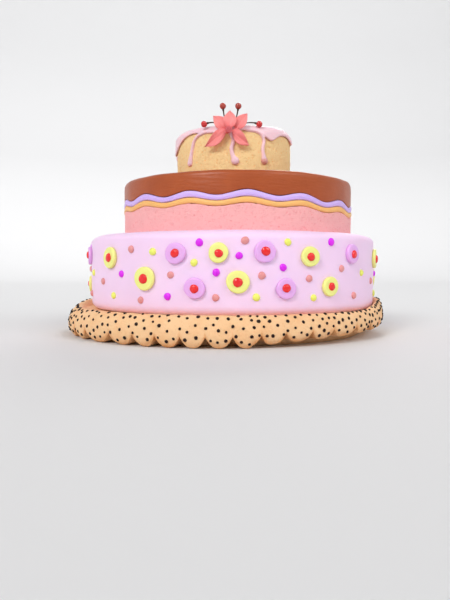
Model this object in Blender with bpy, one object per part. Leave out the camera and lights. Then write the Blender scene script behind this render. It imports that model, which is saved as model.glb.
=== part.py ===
"""A three-tier party cake on its own scalloped biscuit base.

From the floor up: a thick biscuit base with a scalloped rim and chocolate chips, a wide
drum of pale pink icing set with candy discs and small candy dots, a middle tier of four
layers that run through it (pink sponge, apricot cream, lavender cream, chocolate),
and a small vanilla sponge under poured pink icing with drips, a sugar flower and berries.

Sizes are in metres, +Z is up and -Y is the front. The origin is under the bottom tier,
on the flat underside that the cake rests on. Angles run from the front towards +X.
"""

import bisect
import math
import random

import bmesh
import bpy
import numpy
from mathutils import Matrix, Vector
from mathutils.bvhtree import BVHTree

TURN = 2 * math.pi
CLEARANCE = 0.0003  # what neighbouring solids keep between them

# Biscuit base. It sits a little to the left of the tier that it carries, on a round foot.
# Outside the foot its underside rises into the notches between the lobes of the rim.
BASE_AXIS_X = -0.006
BASE_TOP = 0.0218
CREST_AXIS_X = -0.003  # the rim's low crest lies between the tier's foot and the rim
CREST_RADIUS = 0.1335
CREST_HEIGHT = 0.0234
BASE_RADIUS = 0.141  # the rim at its widest
BASE_WIDEST_HEIGHT = 0.0105
BASE_EDGE_RADIUS = 0.1365  # the rim's lower edge
NOTCH_LENGTH = 0.0085  # how far each notch runs in before its roof comes down to the foot
BASE_FOOT_RADIUS = 0.120
FRONT_NOTCH_DEGREES = (-51.7, -38.4, -28.9, -21.2, -13.4, -5.9, 2.0, 10.3, 17.8, 26.6, 34.6, 45.6)
BACK_LOBES = 27  # even ones, from the last notch in front round to the first
LOBE_TIP_HEIGHT = 0.0004
LOBE_NOTCH_DEPTH = 0.0084
LOBE_NOTCH_POWER = 2.5  # 2 is a parabola; more makes a rounder lobe with a sharper notch
LOBE_BULGE = 0.0012
LOBE_BULGE_TOP = 0.017  # the height where the creases between the lobes fade out
# The rim is uneven: on the right its lower edge curls up, and beside and behind the tier so
# does its crest. Each crest lift is its side, the degrees where it begins, and its height.
EDGE_LIFT = 0.0064
EDGE_LIFT_DEGREES = (7, 53)
CREST_LIFTS = ((1, 50, 0.0070), (-1, 72, 0.0042))
CREST_LIFT_SPAN = 28
LIFT_END_DEGREES = (112, 172)
POINTS_PER_LOBE = 6

# Chocolate chips in the rim
CHIP_COUNT = 120
CHIP_RADIUS = (0.0015, 0.0018)
CHIP_HEIGHT = 0.0011
CHIP_TRIES = 60
CHIP_SEED = 7
CHIP_EDGE_GAP = 0.0030
CHIP_TOP_GAP = 0.0020
RIM_TOP_ARC = 0.0163  # along the rim's surface, from its crest down to its widest line

# Bottom tier
BOTTOM_RADIUS = 0.127
BOTTOM_TOP = 0.0847
BOTTOM_SHOULDER = (0.011, 0.006)  # how far the rounded top edge reaches in and down
BOTTOM_FOOT_ROUNDING = 0.0065

# Candies on the bottom tier. The front third is repeated round the back.
PANELS = 3
DISCS = (  # degrees from the front, height and diameter in millimetres, colour
    (-48.9, 65.0, 16.8, "yellow"),
    (-31.1, 49.1, 18.0, "yellow"),
    (-19.3, 67.5, 15.7, "lilac"),
    (-12.8, 42.3, 15.6, "lilac"),
    (-5.0, 67.7, 14.6, "yellow"),
    (1.2, 46.9, 16.8, "yellow"),
    (9.9, 68.5, 16.0, "lilac"),
    (17.1, 41.8, 15.4, "lilac"),
    (25.9, 65.2, 15.2, "yellow"),
    (34.4, 43.0, 15.0, "yellow"),
    (46.1, 67.9, 15.4, "lilac"),
)
DOTS = (  # degrees from the front and height in millimetres
    (-55.2, 46.4), (-47.5, 35.5), (-42.7, 52.4), (-37.6, 71.1), (-33.3, 32.9), (-28.1, 68.9),
    (-22.5, 36.0), (-21.3, 51.8), (-13.1, 60.7), (-11.3, 75.1), (-5.8, 53.6), (-6.0, 35.6),
    (1.6, 65.6), (3.5, 76.4), (9.0, 51.4), (7.2, 35.8), (17.8, 75.5), (16.2, 57.2),
    (25.8, 49.1), (27.6, 34.9), (35.1, 76.4), (40.4, 56.5), (53.7, 53.2), (48.1, 35.5),
)
DISC_THICKNESS = 0.0026
DISC_SLOPE = 0.0006  # how much narrower a disc is at its front face
CENTRE_SHARE = 0.42  # the red middle's radius, as a share of the disc's
CENTRE_HEIGHT = 0.0020
DOT_RADIUS = 0.0028
DOT_HEIGHT = 0.0019

# Middle tier: layers from the bottom up. The faces between them are wavy, and they all
# tilt a little, down from the high side.
MIDDLE_AXIS_X = 0.005
MIDDLE_RADIUS = 0.1024
MIDDLE_TOP = 0.1314
MIDDLE_SHOULDER = 0.004
PINK_TOP = 0.1053
APRICOT_TOP = 0.1098
LAVENDER_TOP = 0.1146
PINK_WAVE = 0.0014
APRICOT_WAVE = 0.0017
LAVENDER_WAVE = 0.0022
WAVES = 14
WAVE_PHASE_DEGREES = 3.2  # a crest stands just right of the front
POINTS_PER_WAVE = 5
LAYER_TILT = 0.0033  # the drop at the tier's axis, twice that at the low side
HIGH_SIDE_DEGREES = -40

# Top tier
TOP_AXIS_X = 0.0015
TOP_RADIUS = 0.0515
TOP_TOP = 0.1740
TOP_SHOULDER = 0.0055

# Poured icing on the top tier
ICING_TOP_THICKNESS = 0.0025
ICING_SIDE_THICKNESS = 0.0018
ICING_EDGE_HEIGHT = 0.1703
ICING_EDGE_WAVE = 0.0010
# Where the edge runs lower: degrees from the front, width in degrees, drop
ICING_RUNS = (
    (-86, 21, 0.0125), (36, 8, 0.0048), (74, 9, 0.0030), (135, 12, 0.0035), (205, 10, 0.0045),
)
ICING_HUMP = (55, 26, 0.0020)  # where the top is thicker, in the same way, with its height
DRIP_THICKNESS = 0.0019
DRIP_BLOB = 1.75  # the round end's width, as a multiple of the drip's

# Flower and berries
PETAL_THICKNESS = 0.0014
PETAL_FOOT_POWER = 0.9
PETAL_TIP_POWER = 1.25
BERRY_RADIUS = 0.0027
STEM_RADIUS = 0.0006
SPRIGS = {  # a stem's root, the point that it bends towards, and the berry's middle
    "sprig_high_left": (
        (-0.0040, -0.0522, 0.1742), (-0.0072, -0.0500, 0.1810), (-0.0083, -0.0490, 0.1918),
    ),
    "sprig_high_right": (
        (-0.0008, -0.0522, 0.1742), (0.0034, -0.0500, 0.1810), (0.0046, -0.0490, 0.1918),
    ),
    "sprig_left": (
        (-0.0062, -0.0518, 0.1742), (-0.0130, -0.0495, 0.1802), (-0.0240, -0.0480, 0.1772),
    ),
    "sprig_right": (
        (0.0020, -0.0518, 0.1744), (0.0110, -0.0495, 0.1800), (0.0222, -0.0480, 0.1772),
    ),
}


def srgb(red, green, blue):
    """Blender's linear colour for a colour given in 0 to 255 steps."""
    linear = []
    for value in (red, green, blue):
        share = value / 255
        linear.append(share / 12.92 if share <= 0.04045 else ((share + 0.055) / 1.055) ** 2.4)
    return (*linear, 1)


def material(name, colour, roughness):
    made = bpy.data.materials.new(name)
    made.use_nodes = True
    made.diffuse_color = colour
    shader = made.node_tree.nodes["Principled BSDF"]
    shader.inputs["Base Color"].default_value = colour
    shader.inputs["Roughness"].default_value = roughness
    shader.inputs["Metallic"].default_value = 0
    return made


def smoothstep(share):
    share = min(1, max(0, share))
    return share * share * (3 - 2 * share)


def polar(axis_x, radius, angle, height):
    """The point at this angle from the front, about an upright axis at axis_x."""
    return Vector((axis_x + radius * math.sin(angle), -radius * math.cos(angle), height))


def even_angles(columns):
    return [TURN * column / columns for column in range(columns)]


def ring(angles, axis_x, radius, height):
    """A closed ring of points. Radius and height are numbers, or functions of the angle."""
    points = []
    for angle in angles:
        at_radius = radius(angle) if callable(radius) else radius
        at_height = height(angle) if callable(height) else height
        points.append(polar(axis_x, at_radius, angle, at_height))
    return points


def join_rings(mesh, first, second):
    """Faces between two closed rings. One may be a single point, or a multiple of the other."""
    if len(first) > len(second):
        first, second = second, first
    few, many = len(first), len(second)
    if few == 1:
        for i in range(many):
            mesh.faces.new((first[0], second[i], second[(i + 1) % many]))
        return
    step = many // few
    for i in range(few):
        here, beyond = first[i], first[(i + 1) % few]
        for j in range(step):
            corner = second[i * step + j]
            next_corner = second[(i * step + j + 1) % many]
            if j == step // 2:
                mesh.faces.new((here, corner, beyond))
                mesh.faces.new((beyond, corner, next_corner))
            else:
                mesh.faces.new((here if j < step // 2 else beyond, corner, next_corner))


def object_from(mesh, name, finish):
    bmesh.ops.recalc_face_normals(mesh, faces=mesh.faces)
    data = bpy.data.meshes.new(name)
    mesh.to_mesh(data)
    mesh.free()
    data.materials.append(finish)
    data.shade_smooth()
    data.set_sharp_from_angle(angle=math.radians(40))
    made = bpy.data.objects.new(name, data)
    bpy.context.scene.collection.objects.link(made)
    return made


def solid_of_rings(name, rings, finish):
    """A closed solid skinned over rings that run from one end point to the other."""
    mesh = bmesh.new()
    corners = [[mesh.verts.new(point) for point in points] for points in rings]
    for first, second in zip(corners, corners[1:]):
        join_rings(mesh, first, second)
    return object_from(mesh, name, finish)


def fuse(body, toppings):
    """Joins small toppings to the body as one closed solid, and removes them."""
    group = bpy.data.collections.new(body.name + "_toppings")
    bpy.context.scene.collection.children.link(group)
    for topping in toppings:
        bpy.context.scene.collection.objects.unlink(topping)
        group.objects.link(topping)
    union = body.modifiers.new("toppings", "BOOLEAN")
    union.operation = "UNION"
    union.operand_type = "COLLECTION"
    union.collection = group
    union.solver = "MANIFOLD"
    bpy.context.view_layer.update()
    seen = body.evaluated_get(bpy.context.evaluated_depsgraph_get())
    fused = bpy.data.meshes.new_from_object(seen)
    body.modifiers.clear()
    body.data = fused
    for topping in toppings:
        bpy.data.objects.remove(topping)
    bpy.data.collections.remove(group)
    return body


def lump(name, place, outward, radius, height, finish):
    """A small six-sided drop that stands out of a surface, with its root a little way in."""
    root = 0.0005
    spread = radius * (height + root) / height
    rings = [[Vector((0, 0, -root))], ring(even_angles(6), 0, spread, -root), [Vector((0, 0, height))]]
    made = solid_of_rings(name, rings, finish)
    made.matrix_world = Matrix.Translation(place) @ outward.to_track_quat("Z", "Y").to_matrix().to_4x4()
    return made


# Biscuit base


def notch_angles():
    """The angles of the notches between the lobes: as seen in front, then even ones."""
    front = [math.radians(degrees) for degrees in FRONT_NOTCH_DEGREES]
    step = (TURN + front[0] - front[-1]) / BACK_LOBES
    return front + [front[-1] + step * (i + 1) for i in range(BACK_LOBES - 1)]


NOTCHES = notch_angles()


def lobe_angles(points):
    """Angles all round the rim, with this many in each lobe, from its notch on."""
    angles = []
    for i, notch in enumerate(NOTCHES):
        beyond = NOTCHES[i + 1] if i + 1 < len(NOTCHES) else NOTCHES[0] + TURN
        angles += [notch + (beyond - notch) * j / points for j in range(points)]
    return angles


def lobe_share(angle):
    """0 in the middle of a lobe, 1 in the notch between two."""
    turned = (angle - NOTCHES[0]) % TURN + NOTCHES[0]
    i = bisect.bisect_right(NOTCHES, turned) - 1
    beyond = NOTCHES[i + 1] if i + 1 < len(NOTCHES) else NOTCHES[0] + TURN
    return abs(2 * (turned - NOTCHES[i]) / (beyond - NOTCHES[i]) - 1)


def lobe_edge_height(angle):
    return LOBE_TIP_HEIGHT + LOBE_NOTCH_DEPTH * lobe_share(angle) ** LOBE_NOTCH_POWER


def rim_lift(angle, height):
    """How far the uneven rim is lifted at a point that would else be at this height."""
    degrees = math.degrees((angle + TURN / 2) % TURN - TURN / 2)
    start, full = EDGE_LIFT_DEGREES
    edge = EDGE_LIFT * math.sqrt(min(1, max(0, (degrees - start) / (full - start))))
    crest = 0
    for side, begins, lift in CREST_LIFTS:
        crest += lift * smoothstep((side * degrees - begins) / CREST_LIFT_SPAN)
    start, end = LIFT_END_DEGREES
    share = height / CREST_HEIGHT
    return (edge * (1 - share) + crest * share) * smoothstep((end - abs(degrees)) / (end - start))


def rim_point(angle, height):
    """The point on the rim's outer surface, with the lobes' bulge and the lift."""
    radius, axis_x = BASE_RADIUS, BASE_AXIS_X
    if height > BASE_WIDEST_HEIGHT:
        rise = (height - BASE_WIDEST_HEIGHT) / (CREST_HEIGHT - BASE_WIDEST_HEIGHT)
        inwards = 1 - math.sqrt(max(0, 1 - rise * rise))
        radius += (CREST_RADIUS - BASE_RADIUS) * inwards
        axis_x += (CREST_AXIS_X - BASE_AXIS_X) * inwards
    else:
        radius -= (BASE_RADIUS - BASE_EDGE_RADIUS) * (1 - height / BASE_WIDEST_HEIGHT) ** 2.5
    fade = smoothstep((LOBE_BULGE_TOP - height) / LOBE_BULGE_TOP)
    bulge = LOBE_BULGE * fade * (0.5 - lobe_share(angle) ** 2)
    return polar(axis_x, radius + bulge, angle, height + rim_lift(angle, height))


def lifted_edge_height(angle):
    return rim_point(angle, lobe_edge_height(angle)).z


def rim_ring(angles, height):
    """A ring on the rim's surface, at a height that may follow the lobes."""
    return [rim_point(angle, height(angle) if callable(height) else height) for angle in angles]


def rim_normal(angle, height):
    around = rim_point(angle + 0.003, height) - rim_point(angle - 0.003, height)
    upwards = rim_point(angle, height + 0.0004) - rim_point(angle, height - 0.0004)
    return around.cross(upwards).normalized()


def rim_height(down):
    """The height of the rim's surface this far down along it from the crest."""
    if down > RIM_TOP_ARC:
        return BASE_WIDEST_HEIGHT - (down - RIM_TOP_ARC)
    rise = math.cos(TURN / 4 * down / RIM_TOP_ARC)
    return BASE_WIDEST_HEIGHT + (CREST_HEIGHT - BASE_WIDEST_HEIGHT) * rise


def chip_places(count):
    """(angle, height) of chips spread evenly over the rim: each is the best of many tries."""
    draw = numpy.random.default_rng(CHIP_SEED)
    angles, downs = numpy.empty(0), numpy.empty(0)
    for _ in range(count):
        tried = TURN * draw.random(CHIP_TRIES)
        edges = numpy.array([lobe_edge_height(angle) for angle in tried])
        lowest = RIM_TOP_ARC + BASE_WIDEST_HEIGHT - edges - CHIP_EDGE_GAP
        tried_downs = CHIP_TOP_GAP + (lowest - CHIP_TOP_GAP) * draw.random(CHIP_TRIES)
        turns = (tried[:, None] - angles + TURN / 2) % TURN - TURN / 2
        gaps = numpy.hypot(BASE_RADIUS * turns, tried_downs[:, None] - downs)
        best = gaps.min(axis=1, initial=1).argmax()
        angles, downs = numpy.append(angles, tried[best]), numpy.append(downs, tried_downs[best])
    return [(angle, rim_height(down)) for angle, down in zip(angles.tolist(), downs.tolist())]


def make_base(biscuit):
    fine = lobe_angles(POINTS_PER_LOBE)
    coarse = lobe_angles(2)
    rings = [
        [Vector((BASE_AXIS_X, 0, BASE_TOP))],
        ring(coarse, CREST_AXIS_X, CREST_RADIUS - 0.0040, BASE_TOP),
        rim_ring(coarse, CREST_HEIGHT),
        rim_ring(coarse, CREST_HEIGHT - 0.0025),
        rim_ring(coarse, CREST_HEIGHT - 0.0070),
        rim_ring(fine, lambda angle: 0.0050 + 0.75 * lobe_edge_height(angle)),
        rim_ring(fine, lobe_edge_height),
        ring(coarse, BASE_AXIS_X, BASE_EDGE_RADIUS - NOTCH_LENGTH, lifted_edge_height),
        ring(coarse, BASE_AXIS_X, BASE_FOOT_RADIUS, 0),
        [Vector((BASE_AXIS_X, 0, 0))],
    ]
    base = solid_of_rings("biscuit_base", rings, biscuit)
    corners = [vertex.co for vertex in base.data.vertices]
    surface = BVHTree.FromPolygons(corners, [face.vertices for face in base.data.polygons])
    chips = []
    for number, (angle, height) in enumerate(chip_places(CHIP_COUNT)):
        radius = CHIP_RADIUS[number % 2]
        place = surface.find_nearest(rim_point(angle, height))[0]
        chips.append(lump("chip", place, rim_normal(angle, height), radius, CHIP_HEIGHT, biscuit))
    return fuse(base, chips)


# Bottom tier and its candies


def round_the_cake(places):
    """The front third's candies, repeated round the back. Degrees become radians."""
    turned = []
    for panel in range(PANELS):
        for degrees, *facts in places:
            turned.append((math.radians(degrees) + TURN * panel / PANELS, *facts))
    return turned


def make_bottom_tier(icing):
    columns = even_angles(48)
    foot = BASE_TOP + CLEARANCE
    reach, drop = BOTTOM_SHOULDER
    rings = [[Vector((0, 0, BOTTOM_TOP))]]
    for step in range(4):
        turn = math.pi / 2 * step / 3
        radius = BOTTOM_RADIUS - reach + reach * math.sin(turn)
        rings.append(ring(columns, 0, radius, BOTTOM_TOP - drop + drop * math.cos(turn)))
    for step in range(3):
        turn = math.pi / 2 * step / 2
        radius = BOTTOM_RADIUS - BOTTOM_FOOT_ROUNDING * (1 - math.cos(turn))
        rings.append(ring(columns, 0, radius, foot + BOTTOM_FOOT_ROUNDING * (1 - math.sin(turn))))
    rings.append([Vector((0, 0, foot))])
    tier = solid_of_rings("bottom_tier", rings, icing)
    dots = []
    for angle, height in round_the_cake(DOTS):
        outward = Vector((math.sin(angle), -math.cos(angle), 0))
        place = polar(0, BOTTOM_RADIUS, angle, height / 1000)
        dots.append(lump("dot", place, outward, DOT_RADIUS, DOT_HEIGHT, icing))
    return fuse(tier, dots)


def make_disc(name, angle, height, diameter, finish):
    """A round candy disc with a smaller domed candy in its middle."""
    columns = even_angles(9)
    radius = diameter / 2
    centre_radius = radius * CENTRE_SHARE
    profile = (
        (radius, 0),
        (radius - DISC_SLOPE, DISC_THICKNESS),
        (centre_radius, DISC_THICKNESS),
        (centre_radius * 0.75, DISC_THICKNESS + CENTRE_HEIGHT * 0.75),
    )
    rings = [[Vector((0, 0, 0))]]
    for at_radius, at_height in profile:
        rings.append(ring(columns, 0, at_radius, at_height))
    rings.append([Vector((0, 0, DISC_THICKNESS + CENTRE_HEIGHT))])
    disc = solid_of_rings(name, rings, finish)
    disc.location = polar(0, BOTTOM_RADIUS + CLEARANCE, angle, height)
    disc.rotation_euler = (math.pi / 2, 0, angle)
    return disc


# Middle tier


def wave(angle):
    """The layers' common wave, about -1 to 1, a little uneven from crest to crest."""
    turned = angle - math.radians(WAVE_PHASE_DEGREES)
    return 0.9 * math.cos(WAVES * turned) + 0.25 * math.sin(5 * turned + 1)


def face_ring(height, height_of_wave, tilt):
    """The edge of a face between two layers: its highest mean height, its wave and its tilt."""
    high_side = math.radians(HIGH_SIDE_DEGREES)
    columns = even_angles(WAVES * POINTS_PER_WAVE)
    return ring(
        columns,
        MIDDLE_AXIS_X,
        MIDDLE_RADIUS,
        lambda angle: height + height_of_wave * wave(angle) - tilt * (1 - math.cos(angle - high_side)),
    )


def face_middle(height, height_of_wave, tilt):
    return [Vector((MIDDLE_AXIS_X, 0, height - tilt))]


def make_middle_layer(name, below, above, finish):
    """One layer between two faces, each as in face_ring."""
    rings = [face_middle(*below), face_ring(*below), face_ring(*above), face_middle(*above)]
    return solid_of_rings(name, rings, finish)


def make_chocolate_layer(finish):
    columns = even_angles(WAVES * POINTS_PER_WAVE)
    bottom = (LAVENDER_TOP + CLEARANCE, LAVENDER_WAVE, LAYER_TILT)
    rings = [
        face_middle(*bottom),
        face_ring(*bottom),
        ring(columns, MIDDLE_AXIS_X, MIDDLE_RADIUS, MIDDLE_TOP - MIDDLE_SHOULDER),
        ring(columns, MIDDLE_AXIS_X, MIDDLE_RADIUS - MIDDLE_SHOULDER * 0.9, MIDDLE_TOP),
        [Vector((MIDDLE_AXIS_X, 0, MIDDLE_TOP))],
    ]
    return solid_of_rings("chocolate_layer", rings, finish)


# Top tier, icing, drips


def make_top_tier(finish):
    columns = even_angles(48)
    foot = MIDDLE_TOP + CLEARANCE
    rings = [[Vector((TOP_AXIS_X, 0, foot))], ring(columns, TOP_AXIS_X, TOP_RADIUS, foot)]
    for step in range(3):
        turn = math.pi / 2 * step / 2
        radius = TOP_RADIUS - TOP_SHOULDER * (1 - math.cos(turn))
        rings.append(ring(columns, TOP_AXIS_X, radius, TOP_TOP - TOP_SHOULDER * (1 - math.sin(turn))))
    rings.append([Vector((TOP_AXIS_X, 0, TOP_TOP))])
    return solid_of_rings("vanilla_sponge_tier", rings, finish)


def icing_edge(angle):
    """The height of the icing's lower edge, apart from its drips."""
    height = ICING_EDGE_HEIGHT + ICING_EDGE_WAVE * math.sin(7 * angle + 0.4)
    for degrees, width, drop in ICING_RUNS:
        off = (angle - math.radians(degrees) + TURN / 2) % TURN - TURN / 2
        height -= drop * math.exp(-((off / math.radians(width)) ** 2))
    return height


def icing_hump(angle):
    """How much thicker the poured top is at this angle."""
    degrees, width, height = ICING_HUMP
    return height * math.exp(-(((math.degrees(angle) - degrees) / width) ** 2))


def radius_over_sponge(height, gap):
    """The radius of a point this far off the top tier's side or its rounded shoulder."""
    rise = max(0, height - TOP_TOP + TOP_SHOULDER)
    arc = TOP_SHOULDER + gap
    return TOP_RADIUS - TOP_SHOULDER + math.sqrt(arc * arc - rise * rise)


def make_icing_cap(finish):
    columns = even_angles(48)
    centre = TOP_RADIUS - TOP_SHOULDER  # where the shoulder's arc has its middle
    shoulder = TOP_TOP - TOP_SHOULDER
    inner = TOP_SHOULDER + CLEARANCE * 1.6
    outer_top = TOP_TOP + CLEARANCE + ICING_TOP_THICKNESS
    rings = [
        [Vector((TOP_AXIS_X, 0, outer_top))],
        ring(columns, TOP_AXIS_X, centre, lambda angle: outer_top + icing_hump(angle)),
    ]
    for turn, fall in ((0.6, 0.75), (1.0, 0.4)):
        radius = centre + (TOP_SHOULDER + ICING_SIDE_THICKNESS + CLEARANCE) * math.sin(turn)
        height = shoulder + (outer_top - shoulder) * math.cos(turn)
        rings.append(
            ring(
                columns,
                TOP_AXIS_X,
                radius,
                lambda angle, height=height, fall=fall: height + fall * icing_hump(angle),
            )
        )
    # The lower edge: its outer, lowest and inner lines
    for thickness, lift in ((ICING_SIDE_THICKNESS, 0.0010), (ICING_SIDE_THICKNESS * 0.55, 0), (0, 0.0002)):
        points = []
        for angle in columns:
            height = icing_edge(angle) + lift
            radius = radius_over_sponge(height, CLEARANCE + thickness)
            points.append(polar(TOP_AXIS_X, radius, angle, height))
        rings.append(points)
    # The inside, up the sponge's side and over its shoulder
    points = []
    for angle in columns:
        height = max(shoulder, icing_edge(angle) + 0.0007)
        points.append(polar(TOP_AXIS_X, radius_over_sponge(height, CLEARANCE * 1.6), angle, height))
    rings.append(points)
    for turn in (math.pi / 4, 0):
        radius = centre + inner * math.sin(turn)
        rings.append(ring(columns, TOP_AXIS_X, radius, shoulder + inner * math.cos(turn)))
    rings.append([Vector((TOP_AXIS_X, 0, shoulder + inner))])
    return solid_of_rings("poured_icing", rings, finish)


def drip_routes():
    """Each drip's half width and its stations, (degrees from the front, height), going down."""
    left = ((-14, 0.1722), (-27, 0.1712), (-36, 0.1690), (-41, 0.1650), (-43.5, 0.1590), (-47, 0.1468))
    middle = ((-5.5, 0.1715), (-2, 0.1665), (-1.2, 0.1620), (-2.8, 0.1568), (-2, 0.1515), (0.5, 0.1462))
    right = ((12, 0.1722), (21, 0.1712), (25.5, 0.1690), (28.3, 0.1640), (27.2, 0.1568), (29.2, 0.1473))
    routes = [(0.0016, left), (0.0020, middle), (0.0016, right)]
    back = ((101, 0.1530), (127, 0.1600), (155, 0.1480), (188, 0.1565), (226, 0.1465), (262, 0.1590))
    for number, (degrees, bottom) in enumerate(back):
        top = 0.1712
        stations = []
        for i in range(5):
            sway = 1.6 * math.sin(1.5 * i + number)
            stations.append((degrees + sway, top + (bottom - top) * i / 4))
        routes.append((0.0015 + 0.0002 * (number % 3), tuple(stations)))
    return routes


def make_drip(half_width, stations, finish):
    """A drip lying on the side of the top tier, with a flat back and a rounder, wider end."""
    radius = TOP_RADIUS + CLEARANCE
    places = [polar(TOP_AXIS_X, radius, math.radians(degrees), height) for degrees, height in stations]
    last = len(places) - 1
    sections = []
    for i, (degrees, _) in enumerate(stations):
        angle = math.radians(degrees)
        outward = Vector((math.sin(angle), -math.cos(angle), 0))
        along = (places[min(i + 1, last)] - places[max(i - 1, 0)]).normalized()
        across = along.cross(outward).normalized()
        width = half_width * (DRIP_BLOB if i == last else 1)
        thickness = DRIP_THICKNESS * (1.25 if i == last else 1)
        section = []
        for share in (0, 0.25, 0.5, 0.75, 1):
            turn = math.pi * share
            offset = across * width * math.cos(turn) + outward * thickness * math.sin(turn)
            section.append(places[i] + offset)
        sections.append(section)
    tip = places[-1] + Vector((0, 0, -half_width * DRIP_BLOB)) + outward * DRIP_THICKNESS * 0.4
    start = places[0] + Vector((0, 0, 0.0005)) + outward * 0.0005
    return solid_of_rings("drip", [[start], *sections, [tip]], finish)


def make_icing(finish):
    drips = [make_drip(half_width, stations, finish) for half_width, stations in drip_routes()]
    return fuse(make_icing_cap(finish), drips)


# Flower and berries


def petal_fullness(share):
    """A petal's width at this share of its length: 1 at its widest, with a slender tip."""
    widest = PETAL_FOOT_POWER / (PETAL_FOOT_POWER + PETAL_TIP_POWER)
    foot = (share / widest) ** PETAL_FOOT_POWER
    return foot * ((1 - share) / (1 - widest)) ** PETAL_TIP_POWER


def make_petal(name, foot, tip, width, depth, curl, lean, finish):
    """A pointed, cupped petal that lies across the view from the front.

    Foot and tip are (x, height). Depth is how far in front of the tier's axis the foot is
    and curl how far the tip comes forward of it. Lean makes one edge fuller towards the tip
    and the other towards the foot.
    """
    stations = 6
    start, end = Vector((foot[0], 0, foot[1])), Vector((tip[0], 0, tip[1]))
    length = (end - start).length
    along = (end - start) / length
    across = Vector((along.z, 0, -along.x))

    def point(share, side, lift):
        half = width / 2 * petal_fullness(share ** (lean if side > 0 else 1 / lean))
        cup = 0.12 * width * side * side * math.sin(math.pi * share)
        wobble = 0.0003 * math.sin(7 * share + 3 * side)
        forward = depth + curl * share * share + cup + wobble + lift
        return start + along * (length * share) + across * (half * side) - Vector((0, forward, 0))

    mesh = bmesh.new()
    end_points = (start - Vector((0, depth, 0)), end - Vector((0, depth + curl, 0)))
    ends = [mesh.verts.new(place) for place in end_points]
    rims = []
    for i in range(1, stations):
        rims.append([mesh.verts.new(point(i / stations, side, 0)) for side in (-1, 1)])
    for lift in (PETAL_THICKNESS / 2, -PETAL_THICKNESS / 2):
        lines = []
        for i, (left, right) in enumerate(rims):
            inner = [mesh.verts.new(point((i + 1) / stations, side, lift)) for side in (-0.45, 0.45)]
            lines.append([left, *inner, right])
        for first, second in zip(lines, lines[1:]):
            for j in range(3):
                mesh.faces.new((first[j], first[j + 1], second[j]))
                mesh.faces.new((first[j + 1], second[j + 1], second[j]))
        for line, corner in ((lines[0], ends[0]), (lines[-1], ends[1])):
            for j in range(3):
                mesh.faces.new((line[j], line[j + 1], corner))
    return object_from(mesh, name, finish)


def make_flower_heart(finish):
    mesh = bmesh.new()
    bmesh.ops.create_uvsphere(mesh, u_segments=8, v_segments=5, radius=1)
    bmesh.ops.scale(mesh, vec=(0.0030, 0.0011, 0.0030), verts=mesh.verts)
    heart = object_from(mesh, "flower_heart", finish)
    heart.location = (-0.0034, -0.0598, 0.1703)
    return heart


def make_sprig(name, route, finish):
    """A thin curved stem that ends in a round berry, as one turned and swept solid."""
    columns = even_angles(7)
    root, bend, berry = (Vector(place) for place in route)
    end_direction = (berry - bend).normalized()
    stem_end = berry - end_direction * BERRY_RADIUS * 0.97

    def on_stem(share):
        return root * (1 - share) ** 2 + bend * 2 * share * (1 - share) + stem_end * share**2

    spots = [(on_stem(share), STEM_RADIUS) for share in (0, 0.5, 1)]
    for degrees in (30, 65, 100, 135):
        turn = math.radians(degrees)
        spots.append((berry - end_direction * BERRY_RADIUS * math.cos(turn), BERRY_RADIUS * math.sin(turn)))
    rings = [[spots[0][0]]]
    for i, (middle, radius) in enumerate(spots):
        before, after = spots[max(i - 1, 0)][0], spots[min(i + 1, len(spots) - 1)][0]
        forward = (after - before).normalized()
        side = forward.cross(Vector((0, 1, 0))).normalized()
        other = forward.cross(side)
        rings.append([middle + (side * math.cos(t) + other * math.sin(t)) * radius for t in columns])
    rings.append([berry + end_direction * BERRY_RADIUS])
    return solid_of_rings(name, rings, finish)


def make_flower(petal_finish, heart_finish, berry_finish):
    """Five petals that face the front, two of them hanging, with four berries behind them."""
    petals = {  # foot and tip as (x, height), width, depth, curl, lean
        "petal_left": ((-0.0055, 0.1716), (-0.0165, 0.1834), 0.0104, 0.0550, -0.0040, 1.0),
        "petal_right": ((0.0020, 0.1714), (0.0123, 0.1856), 0.0098, 0.0550, -0.0040, 1.0),
        "petal_middle": ((-0.0026, 0.1712), (-0.0024, 0.1873), 0.0114, 0.0572, -0.0035, 1.0),
        "petal_low_left": ((-0.0045, 0.1700), (-0.0237, 0.1578), 0.0104, 0.0560, -0.0048, 0.72),
        "petal_low_right": ((-0.0015, 0.1700), (0.0138, 0.1584), 0.0100, 0.0560, -0.0028, 1.38),
    }
    for name, (foot, tip, width, depth, curl, lean) in petals.items():
        make_petal(name, foot, tip, width, depth, curl, lean, petal_finish)
    make_flower_heart(heart_finish)
    for name, route in SPRIGS.items():
        make_sprig(name, route, berry_finish)


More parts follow.
